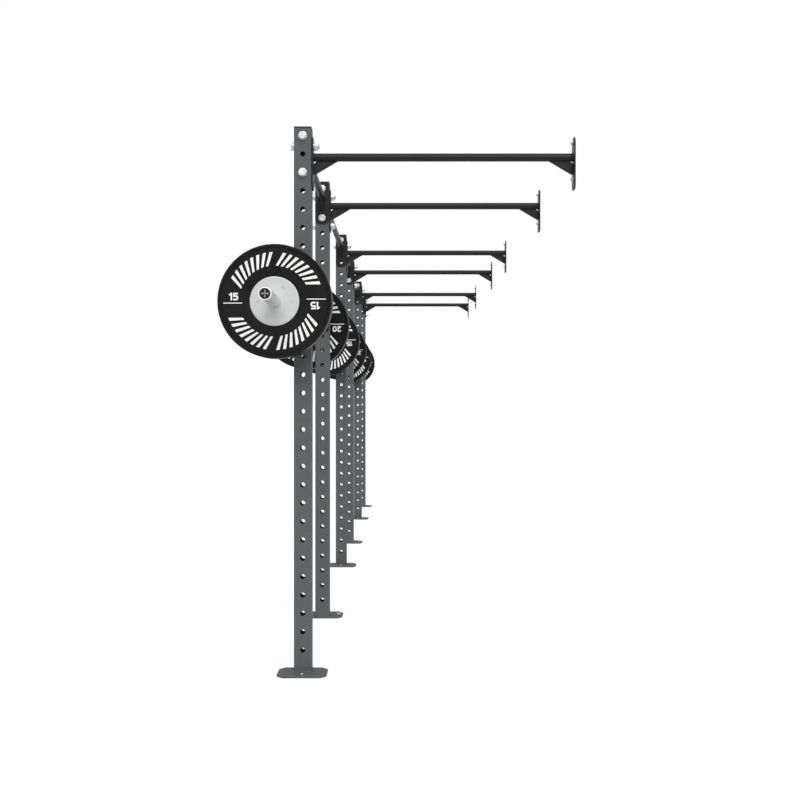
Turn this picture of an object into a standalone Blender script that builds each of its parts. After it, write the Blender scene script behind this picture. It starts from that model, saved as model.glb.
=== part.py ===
"""Wall-mounted training rig with three racked barbells.

Frame: metres, +Z up, +Y along the row of uprights, +X towards the wall.
The origin is on the floor, under the middle of the whole rig's bounding box.
Uprights, bars and bays are counted from the -Y end.
"""
import math

import bmesh
import bpy

# Running and seating gap between separate pieces
GAP = 0.0003
MERGE_DISTANCE = 1e-6
SHARP_ANGLE = math.radians(35)

# Upright: square tube, perforated at one pitch, welded to a foot plate
TUBE = 0.073
TUBE_WALL = 0.003
RIG_HEIGHT = 2.268
HOLE_PITCH = 0.0762
HOLE_DIA = 0.021
LOWEST_HOLE = 0.080
HOLE_SIDES = 6
FOOT_THICK = 0.008
FOOT_WIDTH = 0.205
FOOT_DEPTH = 0.156
FOOT_LIP = 0.002
FOOT_CHAMFER_X = 0.024
FOOT_CHAMFER_Y = 0.030
ANCHOR_HOLE_DIA = 0.014
ANCHOR_SIDE_OFFSET = 0.081
ANCHOR_FRONT_OFFSET = 0.040
CAP_THICK = 0.002

# Layout: clear lengths between uprights, and from an upright to the wall
SHORT_BAY = 1.092
LONG_BAY = 1.778
WALL_REACH = 1.096
BAY_PATTERN = (SHORT_BAY, LONG_BAY, SHORT_BAY, LONG_BAY, SHORT_BAY)

# Crossmember: round tube, a flange and a gusset at each end
BAR_OD = 0.0337
BAR_WALL = 0.0032
BAR_SIDES = 12
FLANGE_WIDTH = 0.073
FLANGE_HEIGHT = 0.217
FLANGE_LIFT = 0.003
FLANGE_THICK = 0.006
FLANGE_CHAMFER = 0.015
BAR_RISE = 0.0307
GUSSET_LENGTH = 0.101
GUSSET_HEIGHT = 0.055
GUSSET_TIP = 0.008
GUSSET_NOTCH = 0.009
GUSSET_THICK = 0.006
FLANGE_HOLE_SPAN = 2

# Fasteners: hexagon bolts and nuts, each with its washer in the solid
BOLT_DIA = 0.020
BOLT_AF = 0.030
BOLT_HEAD = 0.0155
NUT_HEIGHT = 0.019
THREAD_END = 0.006
WALL_HOLE_DIA = 0.013
WALL_HOLE_LIFT = 0.016

# J-cup: bracket round three sides of the tube, with a stub in a side hole
CUP_HOLE = 8
CUP_PIN_DROP = 0.053
CUP_PLATE = 0.006
CUP_HEIGHT = 0.155
CUP_BELOW_BAR = 0.041
CUP_ARM_WIDTH = 0.060
CUP_SHELF = 0.008
CUP_LIP_ABOVE_BAR = 0.030
CUP_PIN_LENGTH = 0.016
CUP_PIN_SIDES = 8
LINER_SEAT = 0.008
LINER_REAR = 0.012
LINER_REAR_HEIGHT = 0.070
LINER_FRONT = 0.006
LINER_DIP = 0.003
LIP_CLEARANCE = 0.008

# Barbell: its collars hang just outside the two uprights of a short bay
BAR_STANDOFF = 0.062
SHAFT_DIA = 0.028
SHAFT_SIDES = 16
COLLAR_CLEARANCE = 0.036
COLLAR_THICK = 0.030
COLLAR_DIA = 0.074
SLEEVE_LENGTH = 0.415
SLEEVE_DIA = 0.050
SLEEVE_END_WALL = 0.012

# Bumper plates: a rubber disc on a steel hub
PLATE_DIA = 0.458
HUB_DIA = 0.198
HUB_BORE_DIA = 0.0506
PLATE_20_THICK = 0.054
PLATE_15_THICK = 0.043
PLATE_SIDES = 24

# Worked out from the values above
UPRIGHT_COUNT = len(BAY_PATTERN) + 1
RIG_LENGTH = sum(BAY_PATTERN) + TUBE * len(BAY_PATTERN)
BAR_OFFSET = TUBE / 2 + BAR_STANDOFF
RIG_DEPTH = PLATE_DIA / 2 + BAR_OFFSET + TUBE / 2 + WALL_REACH
WALL_X = RIG_DEPTH / 2
UPRIGHT_X = WALL_X - WALL_REACH - TUBE / 2
FACE_HOLE_TOP = RIG_HEIGHT - HOLE_PITCH / 2
SIDE_HOLE_TOP = RIG_HEIGHT - HOLE_PITCH
FACE_HOLE_COUNT = 1 + int((FACE_HOLE_TOP - FOOT_THICK - LOWEST_HOLE) / HOLE_PITCH)
BARBELL_X = UPRIGHT_X - BAR_OFFSET
BARBELL_Z = SIDE_HOLE_TOP - CUP_HOLE * HOLE_PITCH - CUP_PIN_DROP
COLLAR_INNER_SPAN = SHORT_BAY + 2 * (TUBE + COLLAR_CLEARANCE)
BARBELL_LENGTH = COLLAR_INNER_SPAN + 2 * (COLLAR_THICK + SLEEVE_LENGTH)
LOADED_BAYS = tuple(range(0, len(BAY_PATTERN), 2))

# Finishes: colour, metallic, roughness
POWDER_GREY = ((0.115, 0.135, 0.137), 0.0, 0.48)
POWDER_BLACK = ((0.030, 0.030, 0.031), 0.0, 0.42)
ZINC = ((0.70, 0.70, 0.69), 1.0, 0.35)
CHROME = ((0.78, 0.78, 0.78), 1.0, 0.18)
SATIN_STEEL = ((0.60, 0.61, 0.60), 1.0, 0.38)
RUBBER = ((0.018, 0.018, 0.018), 0.0, 0.62)


def face_hole_z(index):
    """Height of a hole in the faces that look along the row, 0 at the top."""
    return FACE_HOLE_TOP - index * HOLE_PITCH


def side_hole_z(index):
    """Height of a hole in the faces towards and away from the wall, 0 at the top."""
    return SIDE_HOLE_TOP - index * HOLE_PITCH


def upright_y(index):
    """Centre of an upright along the row."""
    return -RIG_LENGTH / 2 + sum(BAY_PATTERN[:index]) + TUBE * index


def bay_y(index):
    """Middle of a bay along the row."""
    return (upright_y(index) + upright_y(index + 1)) / 2


# Outlines and solids


def polygon(radius, sides, centre=(0.0, 0.0), turn=0.0):
    """Corners of a regular polygon inside a circle of that radius."""
    angles = [turn + math.tau * k / sides for k in range(sides)]
    return [(centre[0] + radius * math.cos(a), centre[1] + radius * math.sin(a)) for a in angles]


def round_hole(diameter, centre):
    """Corners of a polygon that a round shank of that diameter can pass through."""
    return polygon(diameter / 2 / math.cos(math.pi / HOLE_SIDES), HOLE_SIDES, centre)


def rectangle(low_a, low_b, high_a, high_b):
    return [(low_a, low_b), (high_a, low_b), (high_a, high_b), (low_a, high_b)]


def chamfered(width, height, cut_a, cut_b, centre=(0.0, 0.0)):
    """Rectangle with its four corners cut off."""
    a = width / 2
    b = height / 2
    corners = [(a, b - cut_b), (a - cut_a, b), (cut_a - a, b), (-a, b - cut_b),
               (-a, cut_b - b), (cut_a - a, -b), (a - cut_a, -b), (a, cut_b - b)]
    return [(centre[0] + p, centre[1] + q) for p, q in corners]


def on_axis(axis, along, across):
    """Point at a distance along an axis, with the two other coordinates in X, Y, Z order."""
    a, b = across
    return {"X": (along, a, b), "Y": (a, along, b), "Z": (a, b, along)}[axis]


def add_stack(bm, axis, sections):
    """Solid through a run of sections, each a distance along the axis and an outline."""
    rings = []
    for along, outline in sections:
        rings.append([bm.verts.new(on_axis(axis, along, point)) for point in outline])
    bm.faces.new(rings[0])
    bm.faces.new(rings[-1][::-1])
    for first, second in zip(rings, rings[1:]):
        for k in range(len(first)):
            n = (k + 1) % len(first)
            bm.faces.new((first[k], first[n], second[n], second[k]))


def add_prism(bm, axis, start, end, outline):
    add_stack(bm, axis, [(start, outline), (end, outline)])


def add_turned(bm, profile, sides, closed):
    """Turn a profile of (distance along Y, radius) points about the Y axis."""
    verts = [bm.verts.new((radius, along, 0.0)) for along, radius in profile]
    pairs = list(zip(verts, verts[1:]))
    if closed:
        pairs.append((verts[-1], verts[0]))
    edges = [bm.edges.new(pair) for pair in pairs]
    bmesh.ops.spin(bm, geom=verts + edges, axis=(0, 1, 0), cent=(0, 0, 0),
                   angle=math.tau, steps=sides, use_merge=True)
    bmesh.ops.remove_doubles(bm, verts=bm.verts, dist=MERGE_DISTANCE)


def finished_mesh(name, bm):
    """Mesh with its faces pointing out, shaded smooth between sharp edges."""
    bmesh.ops.recalc_face_normals(bm, faces=bm.faces)
    mesh = bpy.data.meshes.new(name)
    bm.to_mesh(mesh)
    bm.free()
    mesh.shade_smooth()
    mesh.set_sharp_from_angle(angle=SHARP_ANGLE)
    return mesh


def welded_mesh(name, base, parts, cuts):
    """Join bmesh solids into one body, then cut the others out of it."""
    helpers = [bpy.data.objects.new(name, finished_mesh(name, base))]
    for operation, solids in (("UNION", parts), ("DIFFERENCE", cuts)):
        for solid in solids:
            tool = bpy.data.objects.new(name + "_tool", finished_mesh(name + "_tool", solid))
            tool.hide_render = True
            tool.display_type = "WIRE"
            helpers.append(tool)
            step = helpers[0].modifiers.new(operation.lower(), "BOOLEAN")
            step.operation = operation
            step.solver = "EXACT"
            step.object = tool
    for helper in helpers:
        bpy.context.collection.objects.link(helper)
    graph = bpy.context.evaluated_depsgraph_get()
    mesh = bpy.data.meshes.new_from_object(helpers[0].evaluated_get(graph))
    mesh.name = name
    for helper in helpers:
        bpy.data.objects.remove(helper, do_unlink=True)
    return mesh


def material_for(name, finish):
    """Principled material for one piece."""
    colour, metallic, roughness = finish
    material = bpy.data.materials.new(name)
    material.use_nodes = True
    shader = material.node_tree.nodes["Principled BSDF"]
    shader.inputs["Base Color"].default_value = (*colour, 1.0)
    shader.inputs["Metallic"].default_value = metallic
    shader.inputs["Roughness"].default_value = roughness
    material.diffuse_color = (*colour, 1.0)
    return material


def place(name, mesh, finish, location=(0.0, 0.0, 0.0), turn_z=0.0, parent=None):
    """One named piece at its place, or at its parent's origin."""
    piece = bpy.data.objects.new(name, mesh)
    bpy.context.collection.objects.link(piece)
    piece.location = location
    piece.rotation_euler = (0.0, 0.0, turn_z)
    piece.parent = parent
    if not mesh.materials:
        mesh.materials.append(None)
    piece.material_slots[0].link = "OBJECT"
    piece.material_slots[0].material = material_for(name, finish)
    return piece


def pivot(name, location, parent=None):
    """Empty on a joint's axis, which carries the pieces that move with it."""
    empty = bpy.data.objects.new(name, None)
    bpy.context.collection.objects.link(empty)
    empty.location = location
    empty.parent = parent
    return empty


# Uprights


def upright_mesh():
    """Perforated tube, closed at its top, welded to a foot plate that reaches out to -Y."""
    half = TUBE / 2
    tube = bmesh.new()
    add_prism(tube, "Z", FOOT_THICK / 2, RIG_HEIGHT, rectangle(-half, -half, half, half))
    foot_centre = (0.0, half + FOOT_LIP - FOOT_DEPTH / 2)
    foot = bmesh.new()
    foot_outline = chamfered(FOOT_WIDTH, FOOT_DEPTH, FOOT_CHAMFER_X, FOOT_CHAMFER_Y, foot_centre)
    add_prism(foot, "Z", 0.0, FOOT_THICK, foot_outline)

    inside = half - TUBE_WALL
    hollow = bmesh.new()
    ceiling = RIG_HEIGHT - CAP_THICK
    add_prism(hollow, "Z", FOOT_THICK, ceiling, rectangle(-inside, -inside, inside, inside))
    holes = bmesh.new()
    for index in range(FACE_HOLE_COUNT):
        outline = round_hole(HOLE_DIA, (0.0, face_hole_z(index)))
        add_prism(holes, "Y", -TUBE, TUBE, outline)
    for index in (0, FLANGE_HOLE_SPAN, CUP_HOLE):
        outline = round_hole(HOLE_DIA, (0.0, side_hole_z(index)))
        add_prism(holes, "X", -TUBE, TUBE, outline)
    anchor_places = [(0.0, -half - ANCHOR_FRONT_OFFSET)]
    anchor_places += [(side * ANCHOR_SIDE_OFFSET, foot_centre[1]) for side in (-1, 1)]
    for centre in anchor_places:
        anchor_hole = round_hole(ANCHOR_HOLE_DIA, centre)
        add_prism(holes, "Z", -FOOT_THICK, FOOT_THICK * 2, anchor_hole)
    return welded_mesh("upright", tube, [foot], [hollow, holes])


def build_uprights():
    """Each foot points away from the loaded bay that its upright belongs to."""
    mesh = upright_mesh()
    for index in range(UPRIGHT_COUNT):
        turn = math.pi * (index % 2)
        place(f"upright_{index + 1}", mesh, POWDER_GREY, (UPRIGHT_X, upright_y(index), 0.0), turn)


# Crossmembers


def bar_mesh(name, clear_length, end_holes):
    """Bar along +X from 0 to its clear length, with its round tube's axis at z = 0.

    Each end's holes are a diameter, and how far they lie over the upright's own holes.
    """
    start = GAP
    end = clear_length - GAP
    radius = BAR_OD / 2
    turn = math.pi / BAR_SIDES
    sunk = FLANGE_THICK / 2
    tube = bmesh.new()
    add_prism(tube, "X", start + sunk, end - sunk, polygon(radius, BAR_SIDES, turn=turn))

    plate = chamfered(FLANGE_WIDTH, FLANGE_HEIGHT, FLANGE_CHAMFER, FLANGE_CHAMFER,
                      (0.0, FLANGE_LIFT - BAR_RISE))
    low = -radius - GUSSET_HEIGHT
    gusset_profile = [(-sunk, low), (GUSSET_TIP, low), (GUSSET_LENGTH, -radius),
                      (GUSSET_LENGTH, -radius / 2), (GUSSET_NOTCH, -radius / 2), (GUSSET_NOTCH, -radius),
                      (0.0, -radius - GUSSET_NOTCH), (-sunk, -radius - GUSSET_NOTCH)]
    ends = ((start, 1, end_holes[0]), (end, -1, end_holes[1]))
    parts = []
    bores = bmesh.new()
    bore = polygon(radius - BAR_WALL, BAR_SIDES, turn=turn)
    add_prism(bores, "X", -FLANGE_THICK, clear_length + FLANGE_THICK, bore)
    for outer, inward, (hole_dia, hole_lift) in ends:
        inner = outer + inward * FLANGE_THICK
        flange = bmesh.new()
        add_prism(flange, "X", min(outer, inner), max(outer, inner), plate)
        gusset = bmesh.new()
        outline = [(inner + inward * reach, height) for reach, height in gusset_profile]
        add_prism(gusset, "Y", -GUSSET_THICK / 2, GUSSET_THICK / 2, outline)
        parts += [flange, gusset]
        middle = (outer + inner) / 2
        for side in (-1, 1):
            centre = (0.0, hole_lift - BAR_RISE + side * FLANGE_HOLE_SPAN * HOLE_PITCH / 2)
            hole = round_hole(hole_dia, centre)
            add_prism(bores, "X", middle - FLANGE_THICK, middle + FLANGE_THICK, hole)
    return welded_mesh(name, tube, parts, [bores])


def flange_centre(top_hole_z):
    return top_hole_z - FLANGE_HOLE_SPAN * HOLE_PITCH / 2


def build_bars():
    """Wall bars run to the wall, pull-up bars from upright to upright."""
    upright_end = (HOLE_DIA, 0.0)
    wall_end = (WALL_HOLE_DIA, WALL_HOLE_LIFT)
    wall_mesh = bar_mesh("wall_bar", WALL_REACH, (upright_end, wall_end))
    wall_z = flange_centre(side_hole_z(0)) + BAR_RISE
    for index in range(UPRIGHT_COUNT):
        start = (UPRIGHT_X + TUBE / 2, upright_y(index), wall_z)
        place(f"wall_bar_{index + 1}", wall_mesh, POWDER_BLACK, start)
    pullup_z = flange_centre(face_hole_z(0)) + BAR_RISE
    meshes = {bay: bar_mesh("pullup_bar", bay, (upright_end, upright_end)) for bay in set(BAY_PATTERN)}
    for index, bay in enumerate(BAY_PATTERN):
        start = (UPRIGHT_X, upright_y(index) + TUBE / 2, pullup_z)
        place(f"pullup_bar_{index + 1}", meshes[bay], POWDER_BLACK, start, math.pi / 2)


# Bolts and nuts


def bolt_mesh(grip):
    """Hexagon bolt along +Y, whose head sits at y = 0 and whose nut sits at the grip's end."""
    hexagon = polygon(BOLT_AF / 2 / math.cos(math.pi / 6), 6)
    shank = polygon(BOLT_DIA / 2, 6)
    tip = grip + GAP + NUT_HEIGHT + THREAD_END
    bm = bmesh.new()
    add_stack(bm, "Y", [(-GAP - BOLT_HEAD, hexagon), (-GAP, hexagon), (-GAP, shank), (tip, shank)])
    return finished_mesh("bolt", bm)


def nut_mesh():
    """Hexagon nut along +Y, from the face that it is tightened on."""
    hexagon = BOLT_AF / 2 / math.cos(math.pi / 6)
    bore = BOLT_DIA / 2 + GAP
    far = GAP + NUT_HEIGHT
    bm = bmesh.new()
    add_turned(bm, [(GAP, bore), (far, bore), (far, hexagon), (GAP, hexagon)], 6, closed=True)
    return finished_mesh("nut", bm)


def build_end_joint():
    """The two bolts and nuts that hold the first pull-up bar to the first upright."""
    grip = TUBE + GAP + FLANGE_THICK
    head_face = upright_y(0) - TUBE / 2
    bolt = bolt_mesh(grip)
    nut = nut_mesh()
    for label, hole in (("upper", 0), ("lower", FLANGE_HOLE_SPAN)):
        place(f"bolt_{label}", bolt, ZINC, (UPRIGHT_X, head_face, face_hole_z(hole)))
        place(f"nut_{label}", nut, ZINC, (UPRIGHT_X, head_face + grip, face_hole_z(hole)))


# J-cups


def cup_mesh():
    """Bracket with the barbell's axis at x = 0, z = 0, and the upright towards +X."""
    face = BAR_STANDOFF
    plate_rear = face - GAP
    plate_front = plate_rear - CUP_PLATE
    half = TUBE / 2 + GAP
    outer = half + CUP_PLATE
    back = face + TUBE
    bottom = -CUP_BELOW_BAR
    wrap = bmesh.new()
    wrap_outline = [(plate_front, -outer), (back, -outer), (back, -half), (plate_rear, -half),
                    (plate_rear, half), (back, half), (back, outer), (plate_front, outer)]
    add_prism(wrap, "Z", bottom, bottom + CUP_HEIGHT, wrap_outline)

    seat = -SHAFT_DIA / 2 - GAP
    shelf_bottom = seat - LINER_SEAT - CUP_SHELF
    rear_pad = plate_front - LINER_REAR
    lip_pad = -SHAFT_DIA / 2 - LIP_CLEARANCE
    lip_front = lip_pad - LINER_FRONT - CUP_PLATE
    buried = plate_front + CUP_PLATE / 2
    hook = bmesh.new()
    hook_outline = [(buried, shelf_bottom), (buried, LINER_REAR_HEIGHT), (rear_pad, LINER_REAR_HEIGHT),
                    (rear_pad, seat + LINER_DIP), (0.0, seat), (lip_pad, seat + LINER_DIP),
                    (lip_pad, CUP_LIP_ABOVE_BAR), (lip_front, CUP_LIP_ABOVE_BAR),
                    (lip_front, shelf_bottom)]
    add_prism(hook, "Y", -CUP_ARM_WIDTH / 2, CUP_ARM_WIDTH / 2, hook_outline)
    stub = bmesh.new()
    pin = polygon(BOLT_DIA / 2, CUP_PIN_SIDES, (0.0, CUP_PIN_DROP))
    add_prism(stub, "X", buried, face + CUP_PIN_LENGTH, pin)
    return welded_mesh("jcup", wrap, [hook, stub], [])


def build_cups():
    mesh = cup_mesh()
    for index in range(UPRIGHT_COUNT):
        place(f"jcup_{index + 1}", mesh, POWDER_BLACK, (BARBELL_X, upright_y(index), BARBELL_Z))


# Barbells and plates


def shaft_mesh():
    bm = bmesh.new()
    half = BARBELL_LENGTH / 2 - SLEEVE_END_WALL - GAP
    add_prism(bm, "Y", -half, half, polygon(SHAFT_DIA / 2, SHAFT_SIDES))
    return finished_mesh("bar_shaft", bm)


def sleeve_mesh():
    """Collar and sleeve over the shaft's end, reaching out to +Y from the bar's middle."""
    inner = COLLAR_INNER_SPAN / 2
    shoulder = inner + COLLAR_THICK
    end = BARBELL_LENGTH / 2
    bore = (SHAFT_DIA / 2 + GAP) / math.cos(math.pi / SHAFT_SIDES)
    profile = [(end - SLEEVE_END_WALL, 0.0), (end - SLEEVE_END_WALL, bore), (inner, bore),
               (inner, COLLAR_DIA / 2), (shoulder, COLLAR_DIA / 2), (shoulder, SLEEVE_DIA / 2),
               (end, SLEEVE_DIA / 2), (end, 0.0)]
    bm = bmesh.new()
    add_turned(bm, profile, SHAFT_SIDES, closed=False)
    return finished_mesh("sleeve", bm)


def disc_mesh(name, start, thick, inner_radius, outer_radius):
    """Flat ring whose axis is Y."""
    bm = bmesh.new()
    profile = [(start, inner_radius), (start + thick, inner_radius),
               (start + thick, outer_radius), (start, outer_radius)]
    add_turned(bm, profile, PLATE_SIDES, closed=True)
    return finished_mesh(name, bm)


def plate_meshes(weight, start, thick):
    """Rubber disc and steel hub of one plate, reaching out to +Y from start."""
    flat = math.cos(math.pi / PLATE_SIDES)
    bore_radius = HUB_BORE_DIA / 2 / flat
    hub = disc_mesh(f"hub_{weight}", start, thick, bore_radius, HUB_DIA / 2)
    rubber = disc_mesh(f"plate_{weight}", start, thick, HUB_DIA / 2 + GAP, PLATE_DIA / 2)
    return rubber, hub


def build_barbells():
    shaft = shaft_mesh()
    sleeve = sleeve_mesh()
    shoulder = COLLAR_INNER_SPAN / 2 + COLLAR_THICK
    start_20 = shoulder + GAP
    start_15 = start_20 + PLATE_20_THICK + GAP
    plates = (("20", plate_meshes("20", start_20, PLATE_20_THICK)),
              ("15", plate_meshes("15", start_15, PLATE_15_THICK)))
    for number, bay in enumerate(LOADED_BAYS, start=1):
        carrier = pivot(f"barbell_{number}_lift", (BARBELL_X, bay_y(bay), BARBELL_Z))
        place(f"bar_shaft_{number}", shaft, SATIN_STEEL, parent=carrier)
        for end_name, turn in (("near", math.pi), ("far", 0.0)):
            tag = f"{number}_{end_name}"
            spin = pivot(f"spin_{tag}", (0.0, 0.0, 0.0), carrier)
            place(f"sleeve_{tag}", sleeve, CHROME, turn_z=turn, parent=spin)
            for weight, (rubber, hub) in plates:
                place(f"plate_{weight}_{tag}", rubber, RUBBER, turn_z=turn, parent=spin)
                place(f"hub_{weight}_{tag}", hub, SATIN_STEEL, turn_z=turn, parent=spin)


def build_rig():
    for old in list(bpy.data.objects):
        bpy.data.objects.remove(old, do_unlink=True)
    build_uprights()
    build_bars()
    build_end_joint()
    build_cups()
    build_barbells()


build_rig()
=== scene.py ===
# %% [markdown]
# # A wall-mounted training rig, dressed in Blender
# Six perforated steel uprights stand in a row. Bars tie them to each other and to a wall, and
# three loaded barbells hang in J-cups on them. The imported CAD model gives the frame: each plain
# solid says where a piece is and how big it is, and each cell below puts a finer surface in its
# place. Everything is in metres.

# %% Load the frame
import math

import bmesh
import bpy
import numpy as np
from mathutils import Matrix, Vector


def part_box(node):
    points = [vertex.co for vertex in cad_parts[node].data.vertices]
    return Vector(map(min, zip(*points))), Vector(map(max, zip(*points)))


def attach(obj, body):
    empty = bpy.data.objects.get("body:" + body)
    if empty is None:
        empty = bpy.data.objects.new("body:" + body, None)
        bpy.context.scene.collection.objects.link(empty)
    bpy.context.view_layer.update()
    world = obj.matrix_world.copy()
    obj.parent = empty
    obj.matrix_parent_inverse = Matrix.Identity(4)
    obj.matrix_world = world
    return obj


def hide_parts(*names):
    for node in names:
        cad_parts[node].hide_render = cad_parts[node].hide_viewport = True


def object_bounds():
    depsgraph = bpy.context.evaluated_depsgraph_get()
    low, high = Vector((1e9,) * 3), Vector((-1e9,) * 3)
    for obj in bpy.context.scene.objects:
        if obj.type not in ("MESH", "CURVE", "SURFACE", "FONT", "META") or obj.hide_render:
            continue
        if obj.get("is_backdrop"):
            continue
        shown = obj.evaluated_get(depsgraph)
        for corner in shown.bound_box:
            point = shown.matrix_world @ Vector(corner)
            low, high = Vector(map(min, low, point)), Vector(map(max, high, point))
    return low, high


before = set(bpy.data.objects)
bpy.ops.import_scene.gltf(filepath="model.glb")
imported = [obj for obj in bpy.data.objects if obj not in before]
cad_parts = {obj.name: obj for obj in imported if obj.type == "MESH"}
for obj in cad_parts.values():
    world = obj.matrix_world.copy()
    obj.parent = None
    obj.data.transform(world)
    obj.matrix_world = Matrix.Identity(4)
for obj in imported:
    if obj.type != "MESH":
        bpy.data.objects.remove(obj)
cad_low, cad_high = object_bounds()
print("CAD nodes:", len(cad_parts), "box:", tuple(cad_low), tuple(cad_high))

# %% [markdown]
# ## The camera
# The photograph is a one-point perspective: every edge along the row runs to the middle of the
# picture, so the camera looks straight down the row and needs no tilt. The hole pitch of the
# tubes, 76.2 mm, turns pixels into metres: the camera is level, 1.13 m over the floor, and its
# lens is a 50 mm one on a 36 mm sensor.

# %% Place the camera
CAMERA_PLACE = (0.0010, -8.253, 1.1327)
LENS = 50.148
SENSOR = 36.0
LENS_RISE = 0.00028
NEAREST = 0.05
FARTHEST = 200.0

camera_data = bpy.data.cameras.new("camera")
camera_data.lens = LENS
camera_data.sensor_width = SENSOR
camera_data.shift_y = LENS_RISE
camera_data.clip_start = NEAREST
camera_data.clip_end = FARTHEST
camera = bpy.data.objects.new("camera", camera_data)
camera.location = CAMERA_PLACE
camera.rotation_euler = (math.radians(90), 0.0, 0.0)
bpy.context.scene.collection.objects.link(camera)
bpy.context.scene.camera = camera
bpy.context.scene.view_settings.view_transform = "Standard"
print("camera at", tuple(camera.location))

# %% [markdown]
# ## Light
# The rig stands in a white studio. A lamp strong enough to bleach the wall would bleach the rig
# too, so the world is white only where it is seen, directly, in mirrors or through glass, and
# gives a low light to the surfaces themselves. One wide sun is the key light from above: it is
# frontal, so the flat faces are lighter than the tubes' rounded edges, which draws each tube with
# a soft dark line. A weaker sun fills from the right. World, floor and finishes are all built from
# nodes by one helper, which takes a value or a link for any input.

# %% Helpers for shader nodes
def add_node(owner, kind, values, **settings):
    """Shader node of a material or world. Each value goes to the input of that name or number."""
    made = owner.node_tree.nodes.new("ShaderNode" + kind)
    for key, value in settings.items():
        setattr(made, key, value)
    for key, value in values.items():
        if isinstance(value, bpy.types.NodeSocket):
            owner.node_tree.links.new(value, made.inputs[key])
        else:
            made.inputs[key].default_value = value
    return made.outputs[0] if made.outputs else None


def maths(owner, operation, *values):
    return add_node(owner, "Math", dict(enumerate(values)), operation=operation)


def seen_directly(owner, lighting, seen):
    """Shader `seen` for rays from the camera, straight or by a mirror or glass, else `lighting`."""
    rays = owner.node_tree.nodes.new("ShaderNodeLightPath")
    direct = rays.outputs["Is Camera Ray"]
    for kind in ("Is Glossy Ray", "Is Transmission Ray"):
        direct = maths(owner, "MAXIMUM", direct, rays.outputs[kind])
    return add_node(owner, "MixShader", {0: direct, 1: lighting, 2: seen})


def grey(value):
    return (value, value, value, 1.0)


print("white as a colour:", grey(1.0))

# %% Light the studio
WORLD_LIGHT = 0.44
SUNS = (("key", 2.0, (48, 0, 8)), ("fill", 0.28, (62, 0, 40)))
SUN_WIDTH = math.radians(48)

world = bpy.data.worlds.new("studio")
world.use_nodes = True
world.node_tree.nodes.clear()
bpy.context.scene.world = world
soft, white = [add_node(world, "Background", {"Color": grey(1.0), "Strength": strength})
               for strength in (WORLD_LIGHT, 1.0)]
add_node(world, "OutputWorld", {0: seen_directly(world, soft, white)})

for name, strength, turn in SUNS:
    sun = bpy.data.lights.new(name, "SUN")
    sun.energy = strength
    sun.angle = SUN_WIDTH
    lamp = bpy.data.objects.new(name, sun)
    lamp.rotation_euler = [math.radians(angle) for angle in turn]
    bpy.context.scene.collection.objects.link(lamp)
print("lamps:", [name for name, _, _ in SUNS])

# %% [markdown]
# ## Surfaces from grids
# Nearly every piece of a rig is rolled, turned, bent or drilled, so its surface follows two
# parameters: round and along, or out and in. Each shape below is therefore one numpy array of
# points in rows and columns, and the faces are the quads between neighbours. Where two grids meet
# they have the same points, and merging those makes one closed skin.

# %% Grids and meshes
MERGE_DISTANCE = 2e-6
SHARP_ANGLE = math.radians(20)


def grid(points):
    """Quads between neighbouring points of one or more grids, shaped (..., rows, columns, 3).

    The quad at row i and column j joins (i, j), (i, j + 1), (i + 1, j + 1) and (i + 1, j).
    """
    points = np.asarray(points, dtype=float)
    rows, columns = points.shape[-3:-1]
    index = np.arange(rows * columns).reshape(rows, columns)
    corners = (index[:-1, :-1], index[:-1, 1:], index[1:, 1:], index[1:, :-1])
    quads = np.stack(corners, axis=-1).reshape(1, -1, 4)
    starts = np.arange(points.size // (3 * rows * columns)) * rows * columns
    return points.reshape(-1, 3), (quads + starts[:, None, None]).reshape(-1, 4)


def capped(rings, poles=None):
    """Grid of rings whose two ends close at a pole: the one given, or the mean of the end ring."""
    ends = []
    for k in (0, -1):
        pole = rings[k].mean(axis=0) if poles is None else poles[k]
        ends.append(np.broadcast_to(pole, (1, *rings.shape[1:])))
    return grid(np.concatenate([ends[0], rings, ends[1]]))


def joined(surfaces):
    """One surface of several: each one's quads count on from the points before it."""
    starts = np.cumsum([0] + [len(points) for points, _ in surfaces])
    points = np.concatenate([points for points, _ in surfaces])
    return points, np.concatenate([quads + start for (_, quads), start in zip(surfaces, starts)])


# Where a surface's own X, Y and Z go, as the rows of a matrix
STANDING = ((1, 0, 0), (0, 0, 1), (0, 1, 0))
FACING_X = ((0, 1, 0), (0, 0, 1), (1, 0, 0))
ALONG_X = ((0, 1, 0), (1, 0, 0), (0, 0, 1))
DEPTH_DOWN = ((1, 0, 0), (0, 1, 0), (0, 0, -1))
HALF_TURN = ((-1, 0, 0), (0, -1, 0), (0, 0, 1))


def shifted(surface, move=(0.0, 0.0, 0.0), axes=None):
    """The same surface with new axes, given as the rows of a matrix, and then moved."""
    points, quads = surface
    if axes is not None:
        points = points @ np.asarray(axes, dtype=float)
    return points + np.asarray(move, dtype=float), quads


def mesh_of(name, surfaces):
    """Closed mesh of some surfaces, facing outwards and smooth between its sharp edges."""
    points, quads = joined(surfaces)
    mesh = bpy.data.meshes.new(name)
    mesh.from_pydata(points, [], quads)
    shell = bmesh.new()
    shell.from_mesh(mesh)
    bmesh.ops.remove_doubles(shell, verts=shell.verts, dist=MERGE_DISTANCE)
    bmesh.ops.recalc_face_normals(shell, faces=shell.faces)
    shell.to_mesh(mesh)
    shell.free()
    mesh.shade_smooth()
    mesh.set_sharp_from_angle(angle=SHARP_ANGLE)
    return mesh


def middle(node):
    """Centre of a CAD node's box."""
    low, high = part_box(node)
    return (np.array(low) + np.array(high)) / 2


print("upright 1 centre:", middle("upright_1"))

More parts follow.
